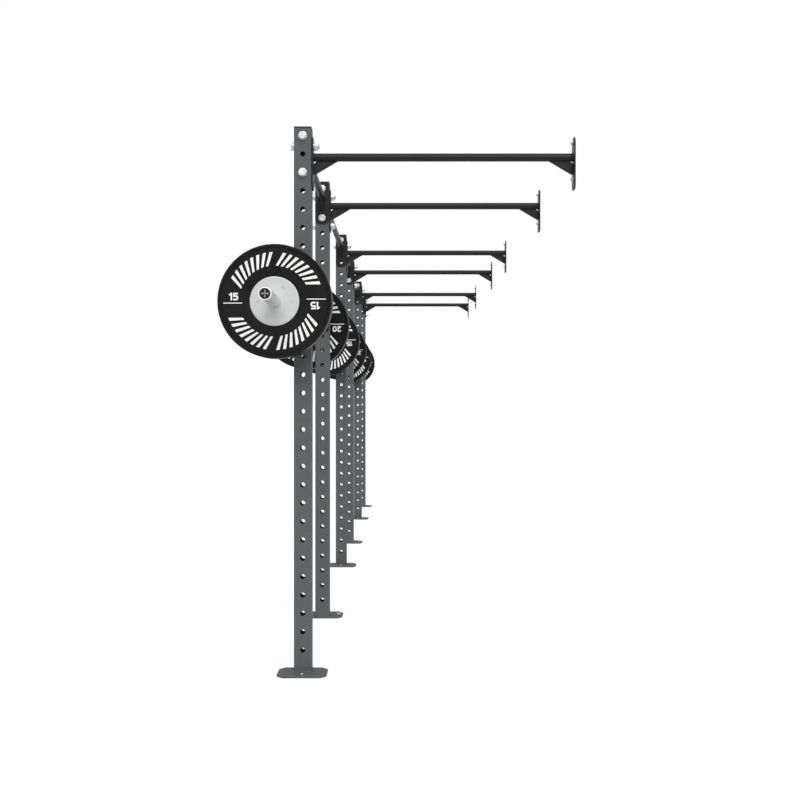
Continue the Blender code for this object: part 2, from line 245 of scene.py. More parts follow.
# %% [markdown]
# ## Finishes
# A finish is more than a colour. Powder coat has the fine skin of an orange peel, zinc is cloudy,
# turned steel shows the lathe's lines, and rubber is matt and a little dusty. Each of these is a
# pattern in space, so the materials read Object coordinates: the pattern is then the same size on
# every piece, and stays where it is when the piece moves.

# %% Helpers for finishes
def finish(name, colour, metallic, roughness, mirror=0.5):
    """Material with one Principled shader, whose even values sit on its own sockets."""
    material = bpy.data.materials.new(name)
    material.use_nodes = True
    shader = material.node_tree.nodes["Principled BSDF"]
    shader.inputs["Base Color"].default_value = (*colour, 1.0)
    shader.inputs["Metallic"].default_value = metallic
    shader.inputs["Roughness"].default_value = roughness
    shader.inputs["Specular IOR Level"].default_value = mirror
    material.diffuse_color = (*colour, 1.0)
    return material


def shader_input(material, name, output):
    shader = material.node_tree.nodes["Principled BSDF"]
    material.node_tree.links.new(output, shader.inputs[name])


def object_coordinates(material):
    return material.node_tree.nodes.new("ShaderNodeTexCoord").outputs["Object"]


def noise(material, vector, scale, detail):
    return add_node(material, "TexNoise", {"Vector": vector, "Scale": scale, "Detail": detail})


def rescaled(material, value, low, high, from_low=0.3, from_high=0.7):
    """The value's range from_low..from_high drawn out to low..high."""
    return add_node(material, "MapRange", {"Value": value, "From Min": from_low,
                                           "From Max": from_high, "To Min": low, "To Max": high})


def blended(material, value, first, second):
    """Colour between two, by a value from 0 to 1."""
    made = material.node_tree.nodes.new("ShaderNodeValToRGB")
    made.color_ramp.elements[0].color = (*first, 1.0)
    made.color_ramp.elements[1].color = (*second, 1.0)
    material.node_tree.links.new(value, made.inputs[0])
    return made.outputs[0]


def relief(material, height, depth):
    """Bump of a height from 0 to 1 that stands for so many metres."""
    return add_node(material, "Bump", {"Height": height, "Distance": depth, "Strength": 1.0})


def grained(name, light, dark, metallic, roughness, scale, depth, cloud=7.0, mirror=0.5):
    """Finish with a fine grain in its surface, and slow clouds in its colour and its gloss."""
    material = finish(name, light, metallic, roughness[0], mirror)
    place = object_coordinates(material)
    slow = rescaled(material, noise(material, place, cloud, 4.0), 0.0, 1.0)
    shader_input(material, "Base Color", blended(material, slow, dark, light))
    shader_input(material, "Roughness", rescaled(material, slow, *roughness, 0.0, 1.0))
    grain = noise(material, place, scale, 1.0)
    shader_input(material, "Normal", relief(material, grain, depth))
    return material


print("helpers ready, materials so far:", len(bpy.data.materials))

# %% Coats, plating and plastics
PEEL_SCALE = 700.0

powder_grey = grained("powder_coat_grey", (0.101, 0.115, 0.117), (0.091, 0.105, 0.107), 0.0,
                      (0.56, 0.64), PEEL_SCALE, 0.00006, mirror=0.12)
powder_black = grained("powder_coat_black", (0.0180, 0.0180, 0.0182), (0.0150, 0.0150, 0.0152),
                       0.0, (0.38, 0.46), PEEL_SCALE, 0.00005, mirror=0.15)
zinc = grained("bright_zinc", (0.64, 0.64, 0.63), (0.46, 0.47, 0.47), 1.0,
               (0.24, 0.38), 260.0, 0.00002, cloud=60.0)
black_plastic = grained("moulded_plastic", (0.012, 0.012, 0.0125), (0.009, 0.009, 0.009), 0.0,
                        (0.40, 0.52), 1500.0, 0.00004, mirror=0.25)
# The plug's ribs are moulded in its black nylon; this paler grey is a painted highlight for the
# light that catches them.
rib_painted_highlight = grained("nylon_with_painted_highlight", (0.25, 0.25, 0.25), (0.20, 0.20, 0.20), 0.0,
                      (0.38, 0.50), 1500.0, 0.00003)
rubber = grained("matt_rubber", (0.0094, 0.0094, 0.0095), (0.0064, 0.0064, 0.0065), 0.0,
                 (0.42, 0.54), 900.0, 0.00010, cloud=14.0, mirror=0.10)
white_print = grained("flat_white_ink", (0.88, 0.88, 0.87), (0.80, 0.80, 0.79), 0.0,
                      (0.50, 0.62), 900.0, 0.00006, cloud=40.0)
print("finishes:", [material.name for material in bpy.data.materials])

# %% [markdown]
# ## Steel from the lathe
# The hubs, sleeves and shafts were turned, so their marks run round the barbell's axis. On a
# hub's flat face the marks are rings, a pattern of the distance from the axis. On a sleeve they
# are threads so fine that they only stretch the highlight, a pattern of the distance along it.
# The three barbells share one axis line, so one mapping that centres the coordinates serves all
# of them.

# %% Turned steel
shaft_centre = middle("bar_shaft_1")
AXIS_X = float(shaft_centre[0])
AXIS_Z = float(shaft_centre[2])
ROUGHNESS_SPREAD = (0.85, 1.2)


def axis_coordinates(material):
    """X, Y and Z outputs of the Object coordinates, counted from the barbells' axis line."""
    centred = add_node(material, "Mapping", {"Vector": object_coordinates(material),
                                             "Location": (-AXIS_X, 0.0, -AXIS_Z)})
    split = material.node_tree.nodes.new("ShaderNodeSeparateXYZ")
    material.node_tree.links.new(centred, split.inputs[0])
    return split.outputs


def turned_finish(name, colour, metallic, roughness, depth, lines_per_metre):
    """Metal with lines of random height: rings round the axis, and rounds along it."""
    material = finish(name, colour, metallic, roughness)
    x, y, z = axis_coordinates(material)
    across = maths(material, "SQRT", maths(material, "ADD", maths(material, "MULTIPLY", x, x),
                                           maths(material, "MULTIPLY", z, z)))
    lines = add_node(material, "TexNoise", {"W": maths(material, "ADD", across, y),
                                            "Scale": lines_per_metre, "Detail": 2.0},
                     noise_dimensions="1D")
    shader_input(material, "Normal", relief(material, lines, depth))
    least, most = [roughness * share for share in ROUGHNESS_SPREAD]
    shader_input(material, "Roughness", rescaled(material, lines, least, most))
    return material


hub_steel = turned_finish("turned_steel", (0.50, 0.512, 0.507), 0.30, 0.50, 0.00002, 900.0)
chrome = turned_finish("satin_chrome", (0.86, 0.86, 0.85), 1.0, 0.34, 0.000006, 1500.0)
print("barbell axis at", AXIS_X, AXIS_Z)

# %% [markdown]
# A shaft's grips are knurled: two sets of spiral grooves cross and leave rows of small diamonds.
# The pattern is the product of two sines of angle and length, one for each hand of the spiral. An
# attribute of the mesh, made with the shaft below, says where the grips are.

# %% Knurled steel
KNURLS_ROUND = 54
KNURL_PITCH = 0.0016
KNURL_DEPTH = 0.00022
PLAIN_ROUGHNESS = 0.26
GRIP_ROUGHNESS = 0.44

shaft_steel = finish("knurled_steel", (0.58, 0.58, 0.58), 1.0, 0.30)
x, y, z = axis_coordinates(shaft_steel)
around = maths(shaft_steel, "MULTIPLY", maths(shaft_steel, "ARCTAN2", z, x), KNURLS_ROUND)
along = maths(shaft_steel, "MULTIPLY", y, math.tau / KNURL_PITCH)
left_hand = maths(shaft_steel, "SINE", maths(shaft_steel, "ADD", around, along))
right_hand = maths(shaft_steel, "SINE", maths(shaft_steel, "SUBTRACT", around, along))
diamonds = maths(shaft_steel, "MULTIPLY", left_hand, right_hand)
grip = shaft_steel.node_tree.nodes.new("ShaderNodeAttribute")
grip.attribute_name = "grip"
gripped = grip.outputs["Fac"]
cut = maths(shaft_steel, "MULTIPLY", diamonds, gripped)
shader_input(shaft_steel, "Normal", relief(shaft_steel, cut, KNURL_DEPTH))
roughness = rescaled(shaft_steel, gripped, PLAIN_ROUGHNESS, GRIP_ROUGHNESS, 0.0, 1.0)
shader_input(shaft_steel, "Roughness", roughness)
print("knurls of", KNURL_PITCH, "m along the shaft")

# %% [markdown]
# ## Outlines, panels and plates
# The tube's faces, the flanges and the feet are all flat steel with round holes. A hole in a mesh
# is often cut with a Boolean, which leaves long thin triangles that shade badly. Here a panel
# grows round its hole instead: rows of points run from the outline in to the rim, through the
# hole and out again over the rear skin, so one grid makes both skins and the bore.

# %% Outlines
def rectangle(half_width, half_height):
    """Corners (x, y) of a rectangle round the origin, counted to the left."""
    return [(x * half_width, y * half_height) for x, y in ((-1, -1), (1, -1), (1, 1), (-1, 1))]


def outline_points(corners, counts):
    """Walk round a polygon, with each edge in its own number of equal steps.

    Point k of n on the edge from a to b is a + (b - a) * k / n. The first point closes it.
    """
    corners = np.asarray(corners, dtype=float)
    following = np.roll(corners, -1, axis=0)
    walk = [a + (b - a) * np.arange(n)[:, None] / n for a, b, n in zip(corners, following, counts)]
    walk.append(corners[:1])
    return np.concatenate(walk)


def inset(corners, by):
    """Polygon whose edges lie inwards by one distance, its corners counted to the left.

    A corner moves along the sum of its two edges' inward normals, over 1 + their product.
    """
    edge = np.roll(corners, -1, axis=0) - corners
    edge = edge / np.linalg.norm(edge, axis=1)[:, None]
    normal = np.column_stack([-edge[:, 1], edge[:, 0]])
    before = np.roll(normal, 1, axis=0)
    return corners + by * (normal + before) / (1 + (normal * before).sum(axis=1))[:, None]


def filleted(corners, radii, steps, closed=False):
    """Polyline or polygon with an arc of its own radius in place of each corner.

    An arc touches both edges at radius * tan(half the turn) from the corner, and its
    points are blended from its first spoke to its last by the sines of the angles between.
    """
    corners = np.asarray(corners, dtype=float)
    count = len(corners)
    parts = []
    for k, radius in enumerate(radii):
        corner = corners[k]
        if radius == 0 or (not closed and k in (0, count - 1)):
            parts.append(corner[None])
            continue
        back = corners[k - 1] - corner
        ahead = corners[(k + 1) % count] - corner
        back = back / np.linalg.norm(back)
        ahead = ahead / np.linalg.norm(ahead)
        turn = math.pi - math.acos(float(np.clip(back @ ahead, -1, 1)))
        reach = radius * math.tan(turn / 2)
        bisector = (back + ahead) / np.linalg.norm(back + ahead)
        centre = corner + bisector * radius / math.cos(turn / 2)
        t = np.linspace(0, 1, steps + 1)[:, None]
        first = corner + back * reach - centre
        last = corner + ahead * reach - centre
        spokes = np.sin((1 - t) * turn) * first + np.sin(t * turn) * last
        parts.append(centre + spokes / math.sin(turn))
    return np.concatenate(parts)


print("rounded square:", filleted(rectangle(0.5, 0.5), [0.1] * 4, 4, closed=True).shape)


# %% Pierced panels and plates
BEND_SHARE = 0.3


def skin_rows(thick, rim):
    """Inset and depth of the rows that round both edges of a wall, one of them on each bend."""
    bend = BEND_SHARE * rim
    return ((rim, 0.0), (bend, bend), (0.0, rim), (0.0, thick - rim), (bend, thick - bend),
            (rim, thick))


def at_depth(flat, depth):
    return np.column_stack([flat, np.full(len(flat), depth)])


def pierced(outline, centre, radius, thick, rim):
    """Panel with a round hole, as rows of points (across, up, depth).

    Rows run from the outline over the front skin to the hole's softened rim, through the hole
    and back over the rear skin. Halfway in, a point is the mean of outline and rim.
    """
    start = math.atan2(*(outline[0] - centre)[::-1])
    angle = start + np.linspace(0, math.tau, len(outline))
    ring = np.column_stack([np.cos(angle), np.sin(angle)])
    rows = [at_depth(centre + (radius + out) * ring, depth) for out, depth in skin_rows(thick, rim)]
    between = (outline + centre + (radius + rim) * ring) / 2
    rows = [at_depth(outline, 0.0), at_depth(between, 0.0)] + rows
    return np.stack(rows + [at_depth(between, thick), at_depth(outline, thick)])


def plate(corners, counts, panels, thick, rim):
    """Flat plate with softened edges, as a surface of points (across, up, depth).

    Each panel is its corners' numbers, the steps across a cut to its neighbour, and its hole's
    centre and radius. A radius of 0 closes the panel at a pole.
    """
    corners = np.asarray(corners, dtype=float)
    skin = inset(corners, rim)
    surfaces = []
    for members, cut_steps, centre, radius in panels:
        ends = zip(members, members[1:] + members[:1])
        steps = [counts[i] if (i + 1) % len(corners) == j else cut_steps for i, j in ends]
        outline = outline_points(skin[members], steps)
        if radius:
            surfaces.append(grid(pierced(outline, np.array(centre), radius, thick, rim)))
            continue
        pole = np.broadcast_to(np.array(centre, dtype=float), outline.shape)
        for depth in (0.0, thick):
            rows = [outline, (outline + pole) / 2, pole]
            surfaces.append(grid(np.stack([at_depth(row, depth) for row in rows])))
    wall = [at_depth(outline_points(inset(corners, by), counts), depth)
            for by, depth in skin_rows(thick, rim)]
    surfaces.append(grid(np.stack(wall)))
    return joined(surfaces)


print("rows through a panel:", len(skin_rows(0.006, 0.001)) + 4)

# %% [markdown]
# ## Turned, bent and welded shapes
# A lathe profile turned about the barbell's axis makes the discs, hubs, sleeves and bolts'
# washers. A flat bar that follows a bent path makes the J-cups. A weld is a small round carried
# along a seam: the welder pauses at each drop, so its radius swells at an even pitch.

# %% Turned profiles, bent bars and beads
def turned(profile, sides):
    """Profile of (distance along Y, radius) points turned about the Y axis.

    x = radius * cos(angle), y = distance, z = radius * sin(angle).
    """
    along, radius = np.asarray(profile, dtype=float).T
    angle = np.linspace(0, math.tau, sides + 1)
    across = radius[:, None] * np.cos(angle)
    up = radius[:, None] * np.sin(angle)
    return grid(np.stack([across, np.broadcast_to(along[:, None], across.shape), up], axis=-1))


def profile_from(start, steps):
    """Profile points whose distances are counted from a place on the axis."""
    return [(start + along, radius) for along, radius in steps]


def ribbon(path, thick, half_width, edge):
    """Flat bar bent along a path in a plane, as a surface of points (across, up, sideways).

    A point is path + normal * s + sideways * w, with s and w on a rectangle whose
    corners are cut off by the edge. Both ends close at a pole.
    """
    path = np.asarray(path, dtype=float)
    step = np.gradient(path, axis=0)
    step /= np.linalg.norm(step, axis=1)[:, None]
    normal = np.column_stack([-step[:, 1], step[:, 0]])
    s = np.broadcast_to(np.asarray(thick, dtype=float) / 2, len(path))
    w = np.broadcast_to(np.asarray(half_width, dtype=float), len(path))
    out = np.stack([s, s, s - edge, edge - s, -s, -s, edge - s, s - edge, s], axis=1)
    side = np.stack([edge - w, w - edge, w, w, w - edge, edge - w, -w, -w, edge - w], axis=1)
    return capped(np.dstack([path[:, None] + normal[:, None] * out[..., None], side]))


BEAD_PITCH = 0.0045
BEAD_SWELL = 0.13
SEAM_SPACING = 0.0011


def bead(path, side, radius):
    """Weld bead: point = path + r * (side * cos + up * sin), where r = radius * (1 + swell *
    cos(distance)). The distance is counted so that the waves close on a closed seam."""
    path = np.asarray(path, dtype=float)
    side = np.broadcast_to(np.asarray(side, dtype=float), path.shape)
    step = np.gradient(path, axis=0)
    closed = np.allclose(path[0], path[-1])
    if closed:
        step[0] = step[-1] = path[1] - path[-2]
    step /= np.linalg.norm(step, axis=1)[:, None]
    up = np.cross(step, side)
    gone = np.concatenate([[0.0], np.cumsum(np.linalg.norm(np.diff(path, axis=0), axis=1))])
    waves = max(1, round(gone[-1] / BEAD_PITCH))
    swell = radius * (1 + BEAD_SWELL * np.cos(math.tau * waves * gone / gone[-1]))
    angle = np.linspace(0, math.tau, 9)
    ring = side[:, None] * np.cos(angle)[:, None] + up[:, None] * np.sin(angle)[:, None]
    points = path[:, None] + swell[:, None, None] * ring
    return grid(points) if closed else capped(points, path)


def seam(start, end):
    """Straight run of points from one place to another."""
    start = np.asarray(start, dtype=float)
    end = np.asarray(end, dtype=float)
    count = max(4, int(np.linalg.norm(end - start) / SEAM_SPACING))
    return start + (end - start) * np.linspace(0, 1, count)[:, None]


print("points on a 60 mm seam:", len(seam((0, 0, 0), (0, 0, 0.06))))

# %% [markdown]
# ## Uprights
# An upright is a square tube of 73 mm with 3 mm walls. A laser cuts a hole in each face every
# 76.2 mm, and the holes of neighbouring faces are half a pitch apart, so bolts that cross inside
# the tube miss each other. One tile with its hole is worked out once and repeated by adding the
# holes' heights to it. Strips close the ends of the faces, and four rounded corners, with a row
# every sixth of a pitch, join the faces.

# %% The perforated tube
TUBE = 0.073
WALL = 0.003
CORNER = 0.0055
PITCH = 0.0762
HOLE_RADIUS = 0.0105
RIM = 0.0006
CAP_HEIGHT = 0.006
FOOT_THICK = 0.008
STEPS = 6
CORNER_POINTS = 6
HOLE_COUNT = 29
FLAT = TUBE / 2 - CORNER
RIG_TOP = cad_high[2]
TUBE_TOP = RIG_TOP - CAP_HEIGHT

face_holes = RIG_TOP - PITCH / 2 - PITCH * np.arange(HOLE_COUNT)
side_holes = RIG_TOP - PITCH - PITCH * np.arange(HOLE_COUNT - 1)
tile_bottom = face_holes[-1] - PITCH / 2
lattice = np.minimum(RIG_TOP - np.arange(HOLE_COUNT * STEPS + 1) * PITCH / STEPS, TUBE_TOP)
heights = np.concatenate([lattice, np.linspace(tile_bottom, FOOT_THICK, 5)[1:]])


def on_face(points, angle):
    """Points (across, up, depth) on a tube's face whose outward normal has that angle."""
    across, up, depth = np.moveaxis(np.asarray(points, dtype=float), -1, 0)
    out = TUBE / 2 - depth
    x = out * math.cos(angle) - across * math.sin(angle)
    y = out * math.sin(angle) + across * math.cos(angle)
    return np.stack([x, y, up], axis=-1)


def face_strip(rows, angle, depth):
    """Plain stretch of a face: rows of heights, and STEPS columns across the flat."""
    across, up = np.meshgrid(np.linspace(-FLAT, FLAT, STEPS + 1), rows)
    return grid(on_face(np.stack([across, up, np.full(across.shape, depth)], axis=-1), angle))


def corner_centre(angle):
    """Centre (x, y) of the rounded corner after the face whose outward normal has that angle."""
    diagonal = angle + math.pi / 4
    return FLAT * math.sqrt(2) * np.array([math.cos(diagonal), math.sin(diagonal)])


def corner_strip(angle, depth):
    """Rounded corner: centre + (corner radius - depth) * (cos, sin), at every height."""
    t = angle + np.linspace(math.pi / 4, -math.pi / 4, CORNER_POINTS) + math.pi / 4
    t, up = np.meshgrid(t, heights)
    centre = corner_centre(angle)
    x = centre[0] + (CORNER - depth) * np.cos(t)
    y = centre[1] + (CORNER - depth) * np.sin(t)
    return grid(np.stack([x, y, up], axis=-1))


def end_ring(height):
    """Wall thickness at the tube's end, between the outer and the inner skin."""
    rings = []
    for depth in (0.0, WALL):
        walk = []
        for k in range(4):
            angle = k * math.pi / 2
            across = np.linspace(-FLAT, FLAT, STEPS + 1)
            flat = np.column_stack([across, np.full(STEPS + 1, height), np.full(STEPS + 1, depth)])
            walk.append(on_face(flat, angle))
            t = angle + np.linspace(0, math.pi / 2, CORNER_POINTS)[1:-1]
            spokes = (CORNER - depth) * np.column_stack([np.cos(t), np.sin(t)])
            walk.append(at_depth(corner_centre(angle) + spokes, height))
        walk.append(walk[0][:1])
        rings.append(np.concatenate(walk))
    return grid(np.stack(rings))


def tube_surfaces():
    """Both skins and ends of the tube: tiles with holes, plain strips and rounded corners."""
    tile = outline_points(rectangle(FLAT, PITCH / 2), [STEPS] * 4)
    panel = pierced(tile, np.zeros(2), HOLE_RADIUS, WALL, RIM)
    surfaces = [end_ring(TUBE_TOP), end_ring(FOOT_THICK)]
    for k in range(4):
        angle = k * math.pi / 2
        holes = face_holes if k % 2 else side_holes
        tiles = panel[None] + np.stack([0 * holes, holes, 0 * holes], axis=-1)[:, None, None]
        tiles[..., 1] = np.minimum(tiles[..., 1], TUBE_TOP)
        surfaces.append(grid(on_face(tiles, angle)))
        low_edge = holes[-1] - PITCH / 2
        high_edge = holes[0] + PITCH / 2
        for depth in (0.0, WALL):
            surfaces.append(face_strip(heights[heights < low_edge + MERGE_DISTANCE], angle, depth))
            if high_edge < TUBE_TOP:
                above = heights[heights > high_edge - MERGE_DISTANCE]
                surfaces.append(face_strip(above, angle, depth))
            surfaces.append(corner_strip(angle, depth))
    return surfaces


tube_mesh = mesh_of("tube", tube_surfaces())
print("tube:", len(tube_mesh.polygons), "faces,", len(face_holes), "and", len(side_holes), "holes")

# %% [markdown]
# The tube is welded to a foot plate with chamfered corners and three anchor holes, and a flat
# plastic cap closes its top. The plate is three panels side by side, one round each hole, under
# one softened wall. The bead follows the tube's foot. A plate could be extruded from a curve, but
# the panels keep its quads even round the holes.

# %% Foot plates, weld beads and caps
FOOT_X = 0.1025
FOOT_NEAR = -0.1175
FOOT_FAR = 0.0385
FOOT_CUT = 0.050
CHAMFER_X = 0.024
CHAMFER_Y = 0.030
ANCHOR_RADIUS = 0.007
ANCHOR_SIDE = 0.081
ANCHOR_FRONT = -0.0765
SOFT_EDGE = 0.0010
CAP_EDGE = 0.0008
FOOT_WELD = 0.0026

shoulder_x = FOOT_X - CHAMFER_X
foot_corners = [(-shoulder_x, FOOT_NEAR), (-FOOT_CUT, FOOT_NEAR), (FOOT_CUT, FOOT_NEAR),
                (shoulder_x, FOOT_NEAR), (FOOT_X, FOOT_NEAR + CHAMFER_Y),
                (FOOT_X, FOOT_FAR - CHAMFER_Y), (shoulder_x, FOOT_FAR), (FOOT_CUT, FOOT_FAR),
                (-FOOT_CUT, FOOT_FAR), (-shoulder_x, FOOT_FAR), (-FOOT_X, FOOT_FAR - CHAMFER_Y),
                (-FOOT_X, FOOT_NEAR + CHAMFER_Y)]
foot_counts = [2, 8, 2, 3, 8, 3, 2, 4, 2, 3, 8, 3]
foot_middle = (FOOT_NEAR + FOOT_FAR) / 2
foot_panels = [([2, 3, 4, 5, 6, 7], 6, (ANCHOR_SIDE, foot_middle), ANCHOR_RADIUS),
               ([1, 2, 7, 8], 6, (0.0, ANCHOR_FRONT), ANCHOR_RADIUS),
               ([8, 9, 10, 11, 0, 1], 6, (-ANCHOR_SIDE, foot_middle), ANCHOR_RADIUS)]
foot_plate = shifted(plate(foot_corners, foot_counts, foot_panels, FOOT_THICK, SOFT_EDGE),
                     (0, 0, FOOT_THICK), DEPTH_DOWN)

square = rectangle(TUBE / 2, TUBE / 2)
foot_seam = outline_points(filleted(square, [CORNER] * 4, 6, closed=True), ([1] * 6 + [48]) * 4)
foot_bead = bead(at_depth(foot_seam, FOOT_THICK), (0, 0, 1), FOOT_WELD)
foot_mesh = mesh_of("foot", [foot_plate, foot_bead])

cap_outline = filleted(square, [CORNER] * 4, 5, closed=True)
cap_panel = (list(range(len(cap_outline))), 1, (0, 0), 0)
cap_plate = plate(cap_outline, [1] * len(cap_outline), [cap_panel], CAP_HEIGHT, CAP_EDGE)
cap_mesh = mesh_of("cap", [shifted(cap_plate, (0, 0, RIG_TOP), DEPTH_DOWN)])
print("foot:", len(foot_mesh.polygons), "cap:", len(cap_mesh.polygons))

# %% [markdown]
# A shape that is used again is worked out once and copied into each piece. The place goes into
# the copy's points and the object stays at the origin, as the CAD nodes do, so a pattern on
# Object coordinates lies still. Each piece rides on a body, and may stand for a CAD node.

# %% Put pieces in place
FINISHES = {"powder_grey": powder_grey, "powder_black": powder_black, "zinc": zinc,
            "nylon": black_plastic, "shaft_steel": shaft_steel, "chrome": chrome,
            "rubber": rubber, "hub_steel": hub_steel, "white_print": white_print}


def add_piece(name, mesh, body, slot, place, turn=0, node=None, material=None):
    """Copy of a mesh, turned about Z in degrees and moved, in its slot's finish or a given one."""
    own = mesh.copy()
    own.transform(Matrix.Translation(place) @ Matrix.Rotation(math.radians(turn), 4, "Z"))
    own.materials.append(material or FINISHES[slot])
    piece = bpy.data.objects.new(name, own)
    bpy.context.scene.collection.objects.link(piece)
    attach(piece, body)
    if node:
        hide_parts(node)
    return piece


print("slots:", list(FINISHES))

# %% Stand the uprights up
UPRIGHT_COUNT = 6
FOOT_LIP = 0.002

reach = TUBE / 2 + FOOT_LIP
upright_x = float(middle("upright_1")[0])
upright_y = []
for number in range(1, UPRIGHT_COUNT + 1):
    node = f"upright_{number}"
    low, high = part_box(node)
    turned_round = number % 2 == 0
    upright_y.append(low[1] + reach if turned_round else high[1] - reach)
    where = ((upright_x, upright_y[-1], 0.0), 180 if turned_round else 0)
    tube = add_piece(f"tube_{number}", tube_mesh, "frame", "powder_grey", *where, node)
    even = tube.modifiers.new("even_faces", "WEIGHTED_NORMAL")
    even.keep_sharp = True
    add_piece(f"foot_plate_{number}", foot_mesh, "frame", "powder_grey", *where)
    add_piece(f"tube_cap_{number}", cap_mesh, "frame", "nylon", *where)
print("uprights at y =", [round(y, 4) for y in upright_y])

# %% [markdown]
# ## Crossmembers
# Every bar is the same weldment: a 33.7 mm tube between two flanges, with a gusset under it at
# each end. The gusset's inner corner is cut away, so that it clears the weld round the tube. The
# flange is three panels in a column, for the upper bolt, the tube's bore and the lower bolt.

# %% One bar with its flanges, gussets and welds
GAP = 0.0003
BAR_RADIUS = 0.01685
BAR_BORE = 0.01365
FLANGE_THICK = 0.006
BAR_RISE = 0.0307
GUSSET_LENGTH = 0.101
GUSSET_HEIGHT = 0.055
GUSSET_NOTCH = 0.0115
GUSSET_THICK = 0.006
FLANGE_SIDE = 0.0365
FLANGE_LOW = -0.1055
FLANGE_HIGH = 0.1115
FLANGE_CUT = 0.015
FLANGE_PARTING = (-0.012, 0.056)
GUSSET_ROOT = 0.002
GUSSET_NOSE = 0.008
GUSSET_LAP = 0.003
GUSSET_EDGE = 0.0007
TUBE_WELD = 0.0024
GUSSET_WELD = 0.0017
WELD_MARGIN = 0.002
UPRIGHT_END = (HOLE_RADIUS, 0.0)
WALL_END = (0.0065, 0.016)

narrow = FLANGE_SIDE - FLANGE_CUT
levels = (FLANGE_LOW + FLANGE_CUT, *FLANGE_PARTING, FLANGE_HIGH - FLANGE_CUT)
right_side = [(narrow, FLANGE_LOW), *[(FLANGE_SIDE, level) for level in levels],
              (narrow, FLANGE_HIGH)]
flange_corners = [(-narrow, FLANGE_LOW)] + right_side + [(-x, y) for x, y in right_side[:0:-1]]
flange_counts = [4, 2, 5, 6, 5, 2, 4, 2, 5, 6, 5, 2]


def flange(radius, lift):
    """Flange as points (across, up from the bar's axis, depth). The lift raises its two holes."""
    panels = [([0, 1, 2, 3, 10, 11], 6, (0.0, lift - PITCH), radius),
              ([3, 4, 9, 10], 6, (0.0, BAR_RISE), BAR_BORE - 0.001),
              ([4, 5, 6, 7, 8, 9], 6, (0.0, lift + PITCH), radius)]
    return shifted(plate(flange_corners, flange_counts, panels, FLANGE_THICK, SOFT_EDGE),
                   (0, -BAR_RISE, 0))


def gusset():
    """Gusset as points (out from the flange, up from the bar's axis, depth)."""
    under = -BAR_RADIUS
    low = under - GUSSET_HEIGHT
    corners = [(-GUSSET_ROOT, low), (GUSSET_NOSE, low), (GUSSET_LENGTH, under),
               (GUSSET_LENGTH, under + GUSSET_LAP), (GUSSET_NOTCH, under + GUSSET_LAP),
               (GUSSET_NOTCH, under), (0.0, under - GUSSET_NOTCH),
               (-GUSSET_ROOT, under - GUSSET_NOTCH)]
    pole = (0.025, under - 0.012)
    panel = (list(range(len(corners))), 1, pole, 0)
    return plate(corners, [2, 12, 1, 12, 1, 2, 1, 6], [panel], GUSSET_THICK, GUSSET_EDGE)


def bar_end(radius, lift):
    """Flange, gusset and welds of one end, from x = 0 inwards, with the bar's axis at z = 0."""
    face = GAP + FLANGE_THICK
    under = -BAR_RADIUS
    angle = np.linspace(0, math.tau, 97)
    ring = np.column_stack([0 * angle + face, BAR_RADIUS * np.cos(angle),
                            BAR_RADIUS * np.sin(angle)])
    surfaces = [shifted(flange(radius, lift), (GAP, 0, 0), FACING_X),
                shifted(gusset(), (face, -GUSSET_THICK / 2, 0), STANDING),
                bead(ring, (1, 0, 0), TUBE_WELD)]
    for side in (-1, 1):
        y = side * GUSSET_THICK / 2
        on_flange = seam((face, y, under - GUSSET_HEIGHT + WELD_MARGIN),
                         (face, y, under - GUSSET_NOTCH - WELD_MARGIN))
        on_tube = seam((face + GUSSET_NOTCH + WELD_MARGIN, y, under),
                       (face + GUSSET_LENGTH - GUSSET_LAP, y, under))
        surfaces += [bead(run, (0, 1, 0), GUSSET_WELD) for run in (on_flange, on_tube)]
    return surfaces


def bar_mesh(name, length, ends):
    """Bar along +X from 0 to its clear length. Its far end is a near end turned round."""
    start = GAP + FLANGE_THICK / 2
    end = length - start
    pipe = turned([(start, BAR_RADIUS), (end, BAR_RADIUS), (end, BAR_BORE), (start, BAR_BORE),
                   (start, BAR_RADIUS)], 40)
    surfaces = [shifted(pipe, axes=ALONG_X)] + bar_end(*ends[0])
    surfaces += [shifted(part, (length, 0, 0), HALF_TURN) for part in bar_end(*ends[1])]
    return mesh_of(name, surfaces)


print("flange from", FLANGE_LOW, "to", FLANGE_HIGH)

# %% Hang the crossmembers
low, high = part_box("wall_bar_1")
wall_reach = high[0] - low[0] + 2 * GAP
wall_mesh = bar_mesh("wall_crossmember", wall_reach, (UPRIGHT_END, WALL_END))
for number in range(1, UPRIGHT_COUNT + 1):
    node = f"wall_bar_{number}"
    low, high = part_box(node)
    start = (low[0] - GAP, (low[1] + high[1]) / 2, low[2] - FLANGE_LOW + BAR_RISE)
    add_piece(f"wall_crossmember_{number}", wall_mesh, "frame", "powder_black", start, 0, node)
for number in range(1, UPRIGHT_COUNT):
    node = f"pullup_bar_{number}"
    low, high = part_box(node)
    clear = high[1] - low[1] + 2 * GAP
    pullup_mesh = bar_mesh("pullup_crossmember", clear, (UPRIGHT_END, UPRIGHT_END))
    start = ((low[0] + high[0]) / 2, low[1] - GAP, low[2] - FLANGE_LOW + BAR_RISE)
    add_piece(f"pullup_crossmember_{number}", pullup_mesh, "frame", "powder_black", start, 90, node)
    print("pull-up bar", number, "clear length", round(clear, 4))
print("wall bar:", len(wall_mesh.polygons), "faces, reach", round(wall_reach, 4))

# %% [markdown]
# ## Bolts
# M20 hexagon bolts with washers hold the bars to the uprights. A hexagon in polar form has a
# radius of half its width over the flats, over the cosine of the angle from the nearest flat's
# middle, and the 30 degree chamfer drops each point by how far it lies outside a circle. The
# thread is a helix: the radius is a wave of height and angle together.

